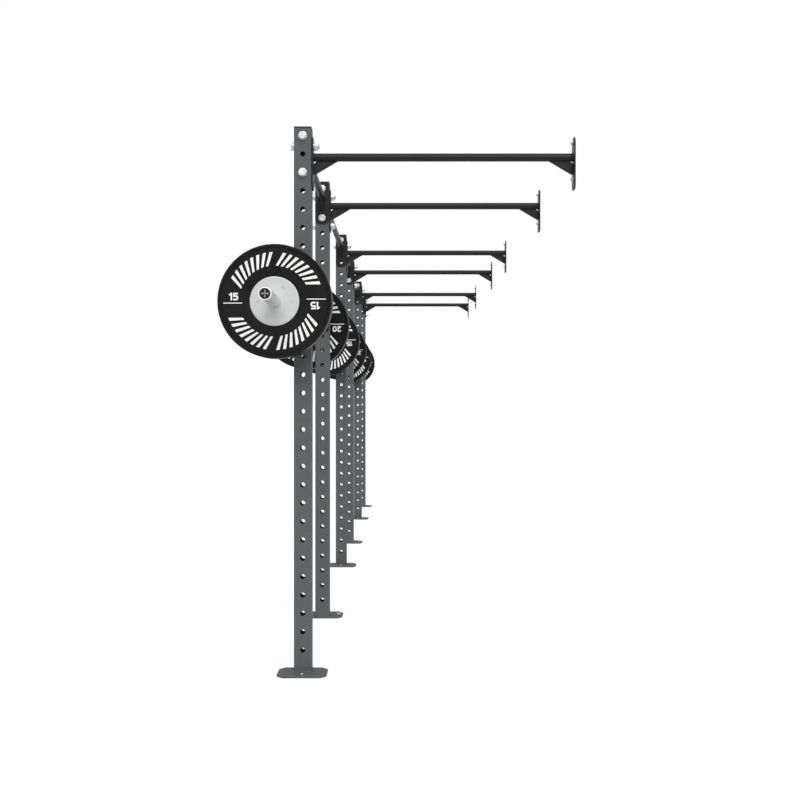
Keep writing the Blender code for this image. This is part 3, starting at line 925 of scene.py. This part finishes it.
# %% Heads, nuts, washers and threads
BOLT_RADIUS = 0.010
BOLT_FLATS = 0.030
WASHER_RADIUS = 0.0185
WASHER_THICK = 0.003
HEAD_HEIGHT = 0.0125
NUT_HEIGHT = 0.016
THREAD_PITCH = 0.0025
THREAD_DEPTH = 0.0007
THREAD_LENGTH = 0.030
THREAD_END = 0.006
TIP_CHAMFER = 0.0012
TIP_SHARE = 0.88
CHAMFER_SLOPE = math.tan(math.radians(30))
CHAMFER_CIRCLE = 0.475


def hexagon(flats, base, top):
    """Hexagonal solid between two heights along Y, chamfered at its top.

    radius = flats / 2 / cos(angle from the nearest flat's middle); its edge drops by
    tan 30 * (radius - circle), where the circle is a little smaller than the flats.
    """
    angle = np.linspace(0, math.tau, 37)
    radius = flats / 2 / np.cos((angle % (math.pi / 3)) - math.pi / 6)
    circle = CHAMFER_CIRCLE * flats
    lean = math.copysign(1.0, top - base)
    edge = top - lean * CHAMFER_SLOPE * (radius - circle)
    even = np.ones(len(angle))
    rows = [(0 * even, base * even), (radius, base * even), (radius, edge),
            (circle * even, top * even), (0 * even, top * even)]
    return grid(np.stack([np.column_stack([r * np.cos(angle), y, r * np.sin(angle)])
                          for r, y in rows]))


def washer(inner, outer, start, thick):
    """Flat ring along Y with softened edges."""
    soft = 0.0005
    profile = [(0.0, inner), (0.0, outer - soft), (soft, outer), (thick - soft, outer),
               (thick, outer - soft), (thick, inner), (0.0, inner)]
    return turned(profile_from(start, profile), 36)


def threaded_end(start, end):
    """Bolt's end along Y, with its thread and a chamfered tip, in six rows of points a turn.

    radius = rod - depth * (1 - cos(turn)) / 2, where turn = 2 pi * height / pitch - angle.
    """
    rows = int((end - start) / THREAD_PITCH * 6)
    levels = np.linspace(start, end - TIP_CHAMFER, rows)
    along, angle = np.meshgrid(levels, np.linspace(0, math.tau, 25), indexing="ij")
    wave = (1 - np.cos(math.tau * along / THREAD_PITCH - angle)) / 2
    across = BOLT_RADIUS - THREAD_DEPTH * wave
    points = np.stack([across * np.cos(angle), along, across * np.sin(angle)], axis=-1)
    tip = points[-1:] * (TIP_SHARE, 0.0, TIP_SHARE) + (0.0, end, 0.0)
    return capped(np.concatenate([points, tip]), np.array([(0.0, start, 0.0), (0.0, end, 0.0)]))


def bolt_mesh(grip):
    """Bolt along +Y: its washer lies on the face at y = 0, and its end passes the nut."""
    tip = grip + GAP + WASHER_THICK + NUT_HEIGHT + THREAD_END
    head_base = -GAP - WASHER_THICK
    thread = tip - THREAD_LENGTH
    shank = [(head_base, 0.0), (head_base, BOLT_RADIUS), (thread, BOLT_RADIUS), (thread, 0.0)]
    return mesh_of("bolt", [hexagon(BOLT_FLATS, head_base, head_base - HEAD_HEIGHT),
                            washer(BOLT_RADIUS, WASHER_RADIUS, head_base, WASHER_THICK),
                            turned(shank, 24), threaded_end(thread, tip)])


nut_base = GAP + WASHER_THICK
nut_mesh = mesh_of("nut", [washer(BOLT_RADIUS, WASHER_RADIUS, GAP, WASHER_THICK),
                           hexagon(BOLT_FLATS, nut_base, nut_base + NUT_HEIGHT)])
print("nut:", len(nut_mesh.polygons), "faces")

# %% [markdown]
# One bolt goes through an upright and the flanges on either side of it, so its grip is the tube's
# width and one or two flanges. The lower holes of some flanges are empty in the photograph, and
# stay so. The bolts towards the wall cross them half a pitch lower.

# %% Bolt the rig together
LABELS = ("upper", "lower")
LOWER_ALONG = (1, 2, 4)
LOWER_TO_WALL = (2, 4, 6)

face_z = [float(face_holes[0]), float(face_holes[2])]
side_z = [float(side_holes[0]), float(side_holes[2])]
seat = GAP + FLANGE_THICK
half = TUBE / 2


def add_bolts(kind, number, bolt, ends, levels, turn):
    """Bolt and nut at one or both levels. The ends are the (x, y) of the head's and nut's seats."""
    for label, z in zip(LABELS, levels):
        for part, mesh, place in zip(("bolt", "nut"), (bolt, nut_mesh), ends):
            name = f"{kind}_{part}_{number}_{label}"
            node = f"{part}_{label}" if kind == "row" and number == 1 else None
            add_piece(name, mesh, "frame", "zinc", (*place, z), turn, node)


for number, y in enumerate(upright_y, start=1):
    before = 0.0 if number == 1 else seat
    after = 0.0 if number == UPRIGHT_COUNT else seat
    ends = ((upright_x, y - half - before), (upright_x, y + half + after))
    levels = face_z if number in LOWER_ALONG else face_z[:1]
    add_bolts("row", number, bolt_mesh(TUBE + before + after), ends, levels, 0)
cross_bolt = bolt_mesh(TUBE + seat)
for number, y in enumerate(upright_y, start=1):
    ends = ((upright_x - half, y), (upright_x + half + seat, y))
    levels = side_z if number in LOWER_TO_WALL else side_z[:1]
    add_bolts("cross", number, cross_bolt, ends, levels, -90)
print("bolt heights:", face_z, side_z)

# %% [markdown]
# Two M12 screws hold each flange to the wall. Only their heads show, on the room's side. The feet
# have room for three anchors each: the odd ones carry a small domed one in the front hole and plugs
# in the grey powder coat in the others, the even ones a nut and washer in each side hole.

# %% Wall screws
WALL_SCREW_FLATS = 0.018
WALL_SCREW_HEAD = 0.0075
WALL_SCREW_RADIUS = 0.006
WALL_WASHER = 0.0025
WALL_WASHER_RADIUS = 0.012

wall_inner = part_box("wall_bar_1")[1][0] - FLANGE_THICK
washer_top = -GAP - WALL_WASHER
screw_head = hexagon(WALL_SCREW_FLATS, washer_top, washer_top - WALL_SCREW_HEAD)
screw_washer = washer(WALL_SCREW_RADIUS, WALL_WASHER_RADIUS, washer_top, WALL_WASHER)
screw_mesh = mesh_of("wall_screw", [screw_head, screw_washer])
for number, y in enumerate(upright_y, start=1):
    for label, z in zip(LABELS, side_z):
        place = (wall_inner, y, z + WALL_END[1])
        add_piece(f"wall_screw_{number}_{label}", screw_mesh, "frame", "zinc", place, -90)
print("wall screws against x =", round(wall_inner, 4))

# %% Anchors and plugs in the feet
ANCHOR_FLATS = 0.022
ANCHOR_NUT = 0.0045
ANCHOR_WASHER = 0.002
ANCHOR_WASHER_RADIUS = 0.0145
DOME_HEIGHT = 0.0045
DOME_RADIUS = 0.0052
STUD_RADIUS = 0.005
STUD_HEIGHT = 0.0086
PLUG_FIT = 0.0068

side_spots = [(side * ANCHOR_SIDE, foot_middle, FOOT_THICK) for side in (-1, 1)]
front_spot = (0.0, ANCHOR_FRONT, FOOT_THICK)
slope = np.radians(np.linspace(0, 90, 7))
dome_profile = np.column_stack([DOME_HEIGHT * np.sin(slope), DOME_RADIUS * np.cos(slope)])
dome_profile = np.concatenate([[(-0.005, 0.0), (-0.005, DOME_RADIUS)], dome_profile])
stud = turned([(-0.004, 0.0), (-0.004, STUD_RADIUS), (STUD_HEIGHT - 0.0008, STUD_RADIUS),
               (STUD_HEIGHT, STUD_RADIUS - 0.0008), (STUD_HEIGHT, 0.0)], 20)
anchor_base = GAP + ANCHOR_WASHER
nut_stack = [washer(STUD_RADIUS, ANCHOR_WASHER_RADIUS, GAP, ANCHOR_WASHER),
             hexagon(ANCHOR_FLATS, anchor_base, anchor_base + ANCHOR_NUT), stud]
hole_plug = turned([(-0.006, 0.0), (-0.006, PLUG_FIT), (-0.0006, PLUG_FIT),
                    (0.0, PLUG_FIT - 0.0006), (0.0, 0.0)], 24)
dome_mesh = mesh_of("dome_anchor", [shifted(turned(dome_profile, 28), front_spot, STANDING)])
nuts_mesh = mesh_of("nut_anchors", [shifted(part, spot, STANDING) for spot in side_spots
                                    for part in nut_stack])
plugs_mesh = mesh_of("foot_plugs", [shifted(hole_plug, spot, STANDING) for spot in side_spots])
for number, y in enumerate(upright_y, start=1):
    place = (upright_x, y, 0.0)
    if number % 2 == 0:
        add_piece(f"foot_nuts_{number}", nuts_mesh, "frame", "zinc", place, 180)
    else:
        add_piece(f"foot_dome_{number}", dome_mesh, "frame", "zinc", place)
        add_piece(f"foot_plugs_{number}", plugs_mesh, "frame", "powder_grey", place)
print("anchors in the feet:", len(nuts_mesh.polygons), "faces in a pair of nuts")

# %% [markdown]
# ## J-cups
# A J-cup is folded from 6 mm plate. One strip wraps round three sides of the tube, a second one
# under the bar turns up into a lip, and a pin at the back locks into a side hole. Nylon lines the
# cup, so that steel never rubs on steel. Each strip is a flat bar that follows a path with
# rounded bends, and the lining's path also dips under the bar, which keeps it in the middle.
# Places in a cup are counted from the barbell's axis: X towards the wall, and up.

# %% Bend the brackets
CUP_REACH = 0.062
CUP_PLATE = 0.006
CUP_BOTTOM = -0.041
CUP_HEIGHT = 0.155
CUP_EDGE = 0.0009
CHEEK_ROUNDING = 0.014
PIN_RISE = 0.053
PIN_RADIUS = 0.010
PIN_LENGTH = 0.016
BOSS_RISE = 0.095
BOSS_RADIUS = 0.0135
LIP_X = -0.031
LIP_TOP = 0.030
ARM_HALF = 0.030
ARM_LEVEL = -0.0263
ARM_THICK = 0.008
ARM_WELD_LEVEL = -0.0305
ARM_WELD = 0.0026

plate_middle = CUP_REACH - GAP - CUP_PLATE / 2
plate_face = CUP_REACH - GAP - CUP_PLATE
cheek = TUBE / 2 + GAP + CUP_PLATE / 2
cheek_end = CUP_REACH + TUBE
wrap_corners = [(cheek_end, -cheek), (plate_middle, -cheek), (plate_middle, cheek),
                (cheek_end, cheek)]
wrap_path = filleted(wrap_corners, [0, 0.006, 0.006, 0], 6)
end_steps = cheek_end - CHEEK_ROUNDING + CHEEK_ROUNDING * np.sin(np.linspace(math.pi / 2, 0, 8))
near_end = np.column_stack([end_steps, np.full(8, -cheek)])
wrap_path = np.concatenate([near_end, wrap_path[1:-1], near_end[::-1] * (1, -1)])
past = np.clip(CHEEK_ROUNDING - (cheek_end - wrap_path[:, 0]), 0, CHEEK_ROUNDING)
wrap_half = CUP_HEIGHT / 2 - CHEEK_ROUNDING + np.sqrt(CHEEK_ROUNDING ** 2 - past ** 2)
wrap = shifted(ribbon(wrap_path, CUP_PLATE, wrap_half, CUP_EDGE),
               (0, 0, CUP_BOTTOM + CUP_HEIGHT / 2))

hook_corners = [(plate_face + 0.003, ARM_LEVEL), (LIP_X, ARM_LEVEL), (LIP_X, LIP_TOP)]
hook_path = filleted(hook_corners, [0, 0.011, 0], 8)
hook_thick = np.interp(hook_path[:, 1], [ARM_LEVEL, -0.015], [ARM_THICK, CUP_PLATE])
hook = shifted(ribbon(hook_path, hook_thick, ARM_HALF, CUP_EDGE), axes=STANDING)
weld_ends = [(plate_face, side * (ARM_HALF - 0.002), ARM_WELD_LEVEL) for side in (-1, 1)]
hook_bead = bead(seam(*weld_ends), (1, 0, 0), ARM_WELD)

pin_end = CUP_REACH + PIN_LENGTH
pin = turned([(plate_middle, 0.0), (plate_middle, PIN_RADIUS), (pin_end - 0.002, PIN_RADIUS),
              (pin_end, PIN_RADIUS - 0.0015), (pin_end, 0.0)], 32)
boss = [(-0.0025, 0.0), (-0.0025, BOSS_RADIUS - 0.001), (-0.0015, BOSS_RADIUS),
        (0.001, BOSS_RADIUS), (0.001, 0.0)]
boss = turned(profile_from(plate_face, boss), 40)
bracket_mesh = mesh_of("cup_bracket", [wrap, hook, shifted(pin, (0, 0, PIN_RISE), ALONG_X),
                                       shifted(boss, (0, 0, BOSS_RISE), ALONG_X), hook_bead])
print("bracket:", len(bracket_mesh.polygons), "faces")

# %% Line the cups
LINER_BACK = 0.0497
LINER_FRONT = -0.025
LINER_EDGE = 0.0016
LINER_FLOOR = -0.016
PAD_THICK = 0.0118
PAD_TOP = 0.070
SCREW_PLACES = [(y, z) for y in (-0.016, 0.016) for z in (0.058, 0.030)]

liner_corners = [(LINER_BACK, PAD_TOP), (LINER_BACK, LINER_FLOOR), (0.0, LINER_FLOOR - 0.003),
                 (LINER_FRONT, LINER_FLOOR), (LINER_FRONT, LIP_TOP)]
liner_path = filleted(liner_corners, [0, 0.014, 0.060, 0.008, 0], 8)
liner_thick = np.interp(liner_path[:, 0], [LINER_FRONT, -0.016, 0.035, LINER_BACK],
                        [0.0058, 0.0075, 0.0075, PAD_THICK])
liner = shifted(ribbon(liner_path, liner_thick, ARM_HALF - 0.001, LINER_EDGE), axes=STANDING)
liner_mesh = mesh_of("cup_lining", [liner])

button = turned([(0.0, 0.0), (0.0, 0.0055), (-0.0012, 0.0050), (-0.0021, 0.0036), (-0.0023, 0.0024),
                 (-0.0008, 0.0023), (-0.0008, 0.0)], 24)
pad_face = plate_face - PAD_THICK
cup_screws = [shifted(button, (pad_face, *place), ALONG_X) for place in SCREW_PLACES]
screw_set = mesh_of("cup_screws", cup_screws)
print("lining:", len(liner_mesh.polygons), "faces,", len(cup_screws), "screws")

# %% Hang a J-cup on each upright
for number, y in enumerate(upright_y, start=1):
    where = (AXIS_X, y, AXIS_Z)
    node = f"jcup_{number}"
    add_piece(f"cup_bracket_{number}", bracket_mesh, "frame", "powder_black", where, 0, node)
    add_piece(f"cup_lining_{number}", liner_mesh, "frame", "nylon", where)
    add_piece(f"cup_screws_{number}", screw_set, "frame", "zinc", where)
print("cups hold the bars at", round(AXIS_Z, 4))

# %% [markdown]
# ## Barbells
# The shaft is 28 mm bar with knurled grips and plain rings that mark them. Each end turns inside
# a sleeve with a wide collar, and a retaining ring and a plastic plug close it. All of it is
# lathe work, so each piece is a profile of distances and radii turned about the axis. The grips
# get an attribute from their place along the bar, for the knurled finish.

# %% Shafts
SHAFT_RADIUS = 0.014
GROOVE = 0.0004
GRIPS = ((0.000, 0.060), (0.150, 0.403), (0.407, 0.640))

low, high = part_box("bar_shaft_1")
shaft_half = (high[1] - low[1]) / 2
groove = [(-0.0012, SHAFT_RADIUS), (-0.0008, SHAFT_RADIUS - GROOVE),
          (0.0008, SHAFT_RADIUS - GROOVE), (0.0012, SHAFT_RADIUS)]
shaft_tip = [(-0.001, SHAFT_RADIUS), (0.0, SHAFT_RADIUS - 0.001), (0.0, 0.0)]
profile = [(0.0, SHAFT_RADIUS)]
for stop in sorted({stop for span in GRIPS for stop in span} - {0.0}):
    profile += profile_from(stop, groove)
profile = np.array(profile + profile_from(shaft_half, shaft_tip))
profile = np.concatenate([profile[:0:-1] * (-1, 1), profile])
shaft_mesh = mesh_of("shaft", [turned(profile, 48)])

places = np.empty(3 * len(shaft_mesh.vertices))
shaft_mesh.vertices.foreach_get("co", places)
from_middle = np.abs(places.reshape(-1, 3)[:, 1])
in_grips = np.any([(from_middle > start - 1e-4) & (from_middle < stop - 0.001)
                   for start, stop in GRIPS], axis=0)
attribute = shaft_mesh.attributes.new("grip", "FLOAT", "POINT")
attribute.data.foreach_set("value", in_grips.astype(float))
print("shaft:", len(shaft_mesh.vertices), "points,", int(in_grips.sum()), "of them in the grips")

# %% Sleeves and plugs
SLEEVE_RADIUS = 0.025
COLLAR_RADIUS = 0.037
COLLAR_THICK = 0.030
PLUG_RADIUS = 0.0202

low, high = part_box("sleeve_1_far")
bay_middle = float(shaft_centre[1])
collar_inner = low[1] - bay_middle
shoulder = collar_inner + COLLAR_THICK
sleeve_end = high[1] - bay_middle
bore = SHAFT_RADIUS + GAP
collar = [(0.0, bore), (0.0, 0.0335), (0.0015, 0.0355), (0.0022, 0.0368), (0.004, COLLAR_RADIUS),
          (0.0095, COLLAR_RADIUS), (0.0102, 0.0362), (0.0122, 0.0362), (0.0129, COLLAR_RADIUS)]
step = [(-0.003, COLLAR_RADIUS), (-0.0008, 0.0362), (0.0, 0.0345), (0.0, 0.0275), (0.0, 0.0262),
        (0.0004, SLEEVE_RADIUS + 0.0001)]
mouth = [(-0.0022, SLEEVE_RADIUS), (-0.0006, 0.0243), (0.0, 0.0233), (0.0, 0.0213),
         (-0.0006, 0.0207), (-0.006, 0.0205), (-0.006, 0.0), (-0.012, 0.0), (-0.012, bore)]
outside = (profile_from(collar_inner, collar) + profile_from(shoulder, step)
           + profile_from(sleeve_end, mouth) + [(collar_inner, bore)])
sleeve_mesh = mesh_of("sleeve", [turned(outside, 72)])

plug = [(-0.0058, 0.0), (-0.0058, PLUG_RADIUS), (-0.0014, PLUG_RADIUS),
        (-0.0009, PLUG_RADIUS - 0.0006), (-0.0009, 0.0158), (-0.0034, 0.0136), (-0.0034, 0.0)]
plug_mesh = mesh_of("plug", [turned(profile_from(sleeve_end, plug), 48)])
print("sleeve from", round(collar_inner, 4), "to", round(sleeve_end, 4), "from the bar's middle")

# %% Ribs and retaining rings at the sleeves' ends
RIB_HALF = 0.0153
RIB_HEIGHT = 0.0024
RIBS = ((STANDING, 0.0058, 0.0023), (((0, 0, 1), (1, 0, 0), (0, 1, 0)), 0.0044, 0.0025))
RING_RADIUS = 0.0201
RING_SPAN = np.radians((112, 428))
RING_WIDTH = 0.0014
RING_THICK = 0.0012
RING_DEPTH = 0.0007
EAR_WIDTH = 0.0016
EAR_SPREAD = 0.09

rib_path = np.column_stack([np.linspace(-RIB_HALF, RIB_HALF, 5), np.zeros(5)])
rib_mesh = mesh_of("plug_ribs", [shifted(ribbon(rib_path, width, RIB_HEIGHT / 2, 0.0008),
                                         (0, sleeve_end - depth, 0), axes)
                                 for axes, width, depth in RIBS])

ring_angle = np.linspace(*RING_SPAN, 60)
ring_path = RING_RADIUS * np.column_stack([np.cos(ring_angle), np.sin(ring_angle)])
ring_width = RING_WIDTH + EAR_WIDTH * np.exp(-((ring_angle - RING_SPAN[0]) / EAR_SPREAD) ** 2)
ring_width = np.maximum(ring_width, ring_width[::-1])
snap = ribbon(ring_path, ring_width, RING_THICK / 2, 0.0002)
snap_mesh = mesh_of("snap_ring", [shifted(snap, (0, sleeve_end - RING_DEPTH, 0), STANDING)])
print("ribs:", len(rib_mesh.polygons), "ring:", len(snap_mesh.polygons), "faces")

# %% Hang the barbells
BARBELLS = (1, 2, 3)
ENDS = (("near", 180), ("far", 0))

for number in BARBELLS:
    node = f"bar_shaft_{number}"
    centre = middle(node)
    add_piece(f"shaft_{number}", shaft_mesh, f"barbell_{number}", "shaft_steel", centre, 0, node)
    for end_name, turn in ENDS:
        tag = f"{number}_{end_name}"
        body = f"sleeve_{tag}"
        add_piece(f"sleeve_shell_{tag}", sleeve_mesh, body, "chrome", centre, turn, body)
        add_piece(f"end_plug_{tag}", plug_mesh, body, "nylon", centre, turn)
        # The ribs' pale grey is a painted highlight on the plug's black nylon.
        add_piece(f"plug_ribs_{tag}", rib_mesh, body, "nylon", centre, turn, material=rib_painted_highlight)
        add_piece(f"snap_ring_{tag}", snap_mesh, body, "powder_black", centre, turn)
print("barbells:", len(BARBELLS))

# %% [markdown]
# ## Plates
# A bumper plate is a rubber disc moulded on a steel hub. The rubber has a raised rim, so that
# stacked plates meet there, with a fine groove inside it, and it dips by the hub. The hub is a
# turned plate with a boss round its bore, a bevelled ring near its edge and six small cap screws.
# Half of each profile is written down, and the other half is its mirror image.

# %% Rubber discs and steel hubs
DISC_RADIUS = 0.229
DISC_ROUNDING = 0.003
HUB_RADIUS = 0.099
HUB_BORE = 0.0253
FACE_DROP = 0.0012
HUB_DROP = 0.0024
SCREW_CIRCLE = 0.066


def both_sides(half):
    """Closed profile of a half and its mirror image, as (distance from the middle, radius)."""
    half = np.asarray(half, dtype=float)
    return np.concatenate([half, half[::-1] * (-1, 1), half[:1]])


def disc_mesh(thick):
    """Rubber disc about Y, with its middle plane at y = 0."""
    half = [(-0.0030, HUB_RADIUS + GAP), (-0.0030, 0.1025), (-0.0026, 0.1035),
            (-FACE_DROP - 0.0004, 0.1060), (-FACE_DROP, 0.1075), (-FACE_DROP, 0.2135),
            (-0.0024, 0.2145), (-0.0024, 0.2158), (-0.0004, 0.2175), (0.0, 0.2190)]
    half += [(DISC_ROUNDING * (math.sin(a) - 1), DISC_RADIUS + DISC_ROUNDING * (math.cos(a) - 1))
             for a in np.radians([90, 68, 45, 22, 0])]
    return mesh_of("disc", [turned(both_sides(profile_from(thick / 2, half)), 128)])


def hub_mesh(thick):
    """Steel hub about Y, with its middle plane at y = 0."""
    half = [(-0.0009, HUB_BORE), (-0.0006, 0.0256), (-0.0006, 0.0300), (-0.0010, 0.0350),
            (-0.0020, 0.0480), (-HUB_DROP, 0.0540), (-HUB_DROP, 0.0872), (-0.0020, 0.0876),
            (-0.0020, 0.0946), (-HUB_DROP, 0.0952), (-0.0030, HUB_RADIUS)]
    return mesh_of("hub", [turned(both_sides(profile_from(thick / 2, half)), 96)])


def hub_screws(thick):
    """Six cap screws on either face, each a small turned head with a socket, 60 degrees apart."""
    head = [(-0.001, 0.0), (-0.001, 0.0066), (0.0008, 0.0066), (0.0015, 0.0058), (0.0015, 0.0034),
            (-0.0005, 0.0031), (-0.0005, 0.0)]
    head = np.array(profile_from(thick / 2 - HUB_DROP, head))
    parts = []
    for k in range(6):
        place = SCREW_CIRCLE * np.array([math.cos(k * math.pi / 3), 0.0, math.sin(k * math.pi / 3)])
        for side in (-1, 1):
            parts.append(shifted(turned(head * (side, 1), 20), place))
    return mesh_of("hub_screws", parts)


print("hubs of", 2 * HUB_RADIUS, "m in discs of", 2 * DISC_RADIUS, "m")

# %% [markdown]
# The print on the rubber is plain: the weight as a number on either side, and slanted blocks on
# two arcs. Ink has almost no thickness, but two surfaces in one place flicker, so each block is a
# skin 0.3 mm thick. A block leans, because its outer radius is reached a few degrees further
# round. A numeral is one to three broad strokes, each on a layer of its own.

# %% Numerals and slanted blocks
INK = 0.0003
INK_SUNK = 0.00005
LAYER = 0.00006
BLOCK_RADII = (0.142, 0.196)
BLOCK_WIDTH = 3.9
BLOCK_PITCH = 8.0
BLOCK_LEAN = -8.0
BLOCK_STARTS = [first + k * BLOCK_PITCH for first in (28.0, 100.0) for k in range(8)]
STROKE = 0.0064
NUMERAL_SIZE = (0.0140, 0.0236)
NUMERAL_GAP = 0.0105
NUMBER_PLACE = (-0.167, 0.018)
RULE_DROP = 0.026
RULE_LENGTH = 0.076
RULE_HEIGHT = 0.0036
BOWL = 0.0050
NUMERALS = {"0": [([(0, 0.5), (0, 0), (1, 0), (1, 1), (0, 1), (0, 0.5)], BOWL)],
            "1": [([(1, -0.14), (1, 1.14)], 0), ([(0.35, 0.78), (1.1, 1.02)], 0)],
            "2": [([(0, 0.78), (0, 1), (1, 1), (1, 0.56), (0.1, 0)], BOWL),
                  ([(-0.22, 0), (1.22, 0)], 0)],
            "5": [([(-0.22, 1), (1.1, 1)], 0), ([(0, 1.1), (0, 0.44)], 0),
                  ([(0, 0.58), (1, 0.58), (1, 0), (-0.2, 0)], BOWL)]}


def block(start):
    """Slanted block: x = r * cos, z = r * sin, with its outer corners further round by the lean."""
    angle = np.radians(start + np.linspace(0, BLOCK_WIDTH, 4))
    lean = math.radians(BLOCK_LEAN)
    inner, outer = BLOCK_RADII
    radius, further, y = np.array([(inner, 0.0, 0.0), (outer, lean, 0.0), (outer, lean, -INK),
                                   (inner, 0.0, -INK), (inner, 0.0, 0.0)]).T
    turn = angle[:, None] + further
    rings = [radius * np.cos(turn), np.broadcast_to(y, turn.shape), radius * np.sin(turn)]
    return capped(np.stack(rings, axis=-1))


def stroke(path, width, layer=0):
    """Thin broad line along a path of (across, up) points, in the XZ plane.

    Strokes that cross lie on layers of their own, because two faces in one plane flicker.
    """
    level = -INK / 2 - layer * LAYER
    return shifted(ribbon(path, width, INK / 2, 0.00004), (0.0, level, 0.0), STANDING)


def number_surfaces(text):
    """The numerals side by side over a rule, on the left of the plate."""
    width, height = NUMERAL_SIZE
    surfaces = []
    for k, numeral in enumerate(text):
        across = (k - len(text) / 2) * (width + NUMERAL_GAP) + NUMERAL_GAP / 2
        start = NUMBER_PLACE + np.array([across, -height / 2])
        for layer, (corners, radius) in enumerate(NUMERALS[numeral]):
            path = filleted(start + np.array(corners) * NUMERAL_SIZE, [radius] * len(corners), 6)
            surfaces.append(stroke(path, STROKE, layer))
    rule = np.array([(t * RULE_LENGTH, -RULE_DROP) for t in (-0.5, 0.0, 0.5)])
    return surfaces + [stroke(NUMBER_PLACE + rule, RULE_HEIGHT)]


def print_mesh(text, thick):
    """All ink on both faces of a plate, whose middle plane is y = 0."""
    one_half = number_surfaces(text) + [block(start) for start in BLOCK_STARTS]
    around = (((1, 0, 0), (0, 1, 0), (0, 0, 1)), ((-1, 0, 0), (0, 1, 0), (0, 0, -1)))
    face = (0.0, FACE_DROP + INK_SUNK - thick / 2, 0.0)
    near = [shifted(part, face, axes) for part in one_half for axes in around]
    return mesh_of("ink", near + [shifted(part, axes=HALF_TURN) for part in near])


print("slanted blocks on a half:", len(BLOCK_STARTS))

# %% Load the plates
for weight in ("20", "15"):
    low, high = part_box(f"plate_{weight}_1_far")
    thick = high[1] - low[1]
    disc = disc_mesh(thick)
    hub = hub_mesh(thick)
    screws = hub_screws(thick)
    ink = print_mesh(weight, thick)
    for number in BARBELLS:
        for end_name, turn in ENDS:
            tag = f"{weight}_{number}_{end_name}"
            body = f"plate_{tag}"
            centre = middle(body)
            add_piece(f"rubber_disc_{tag}", disc, body, "rubber", centre, turn, body)
            add_piece(f"steel_hub_{tag}", hub, body, "hub_steel", centre, turn, f"hub_{tag}")
            add_piece(f"hub_screws_{tag}", screws, body, "hub_steel", centre, turn)
            add_piece(f"print_{tag}", ink, body, "white_print", centre, turn)
    print("plates of", weight, "kg:", round(thick, 4), "m,", len(ink.polygons), "faces of ink")

# %% [markdown]
# ## The floor
# The studio floor is white right up to the rig, with only a breath of shadow. A lit white floor
# would be grey or burnt out, so as the camera sees it, directly, in mirrors or through glass, it
# is mostly its own even light and partly a lit surface, which darkens under the feet. To the rays
# that light the rig it is plain pale paint.

# %% Lay the floor
FLOOR_SIZE = 60.0
PAINT = 0.82
LIT_SHARE = 0.20
OWN_LIGHT = 0.84

points, quads = grid([[(-1, -1, 0), (1, -1, 0)], [(-1, 1, 0), (1, 1, 0)]])
floor_mesh = bpy.data.meshes.new("studio_floor")
floor_mesh.from_pydata(points * FLOOR_SIZE / 2, [], quads)
floor_piece = bpy.data.objects.new("studio_floor", floor_mesh)
bpy.context.scene.collection.objects.link(floor_piece)
floor_piece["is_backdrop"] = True

paint = bpy.data.materials.new("studio_paint")
paint.use_nodes = True
paint.node_tree.nodes.clear()
plain = add_node(paint, "BsdfDiffuse", {"Color": grey(PAINT)})
faint = add_node(paint, "BsdfDiffuse", {"Color": grey(LIT_SHARE)})
glow = add_node(paint, "Emission", {"Strength": OWN_LIGHT})
white = add_node(paint, "AddShader", {0: faint, 1: glow})
add_node(paint, "OutputMaterial", {0: seen_directly(paint, plain, white)})
floor_mesh.materials.append(paint)
print("floor of", FLOOR_SIZE, "m")

# %% [markdown]
# ## The size
# The dressed model has to stay inside the CAD model's box, because the box is what the part
# promises. The last cell measures the dressed model's box.

# %% Measure the dressed model
low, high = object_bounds()
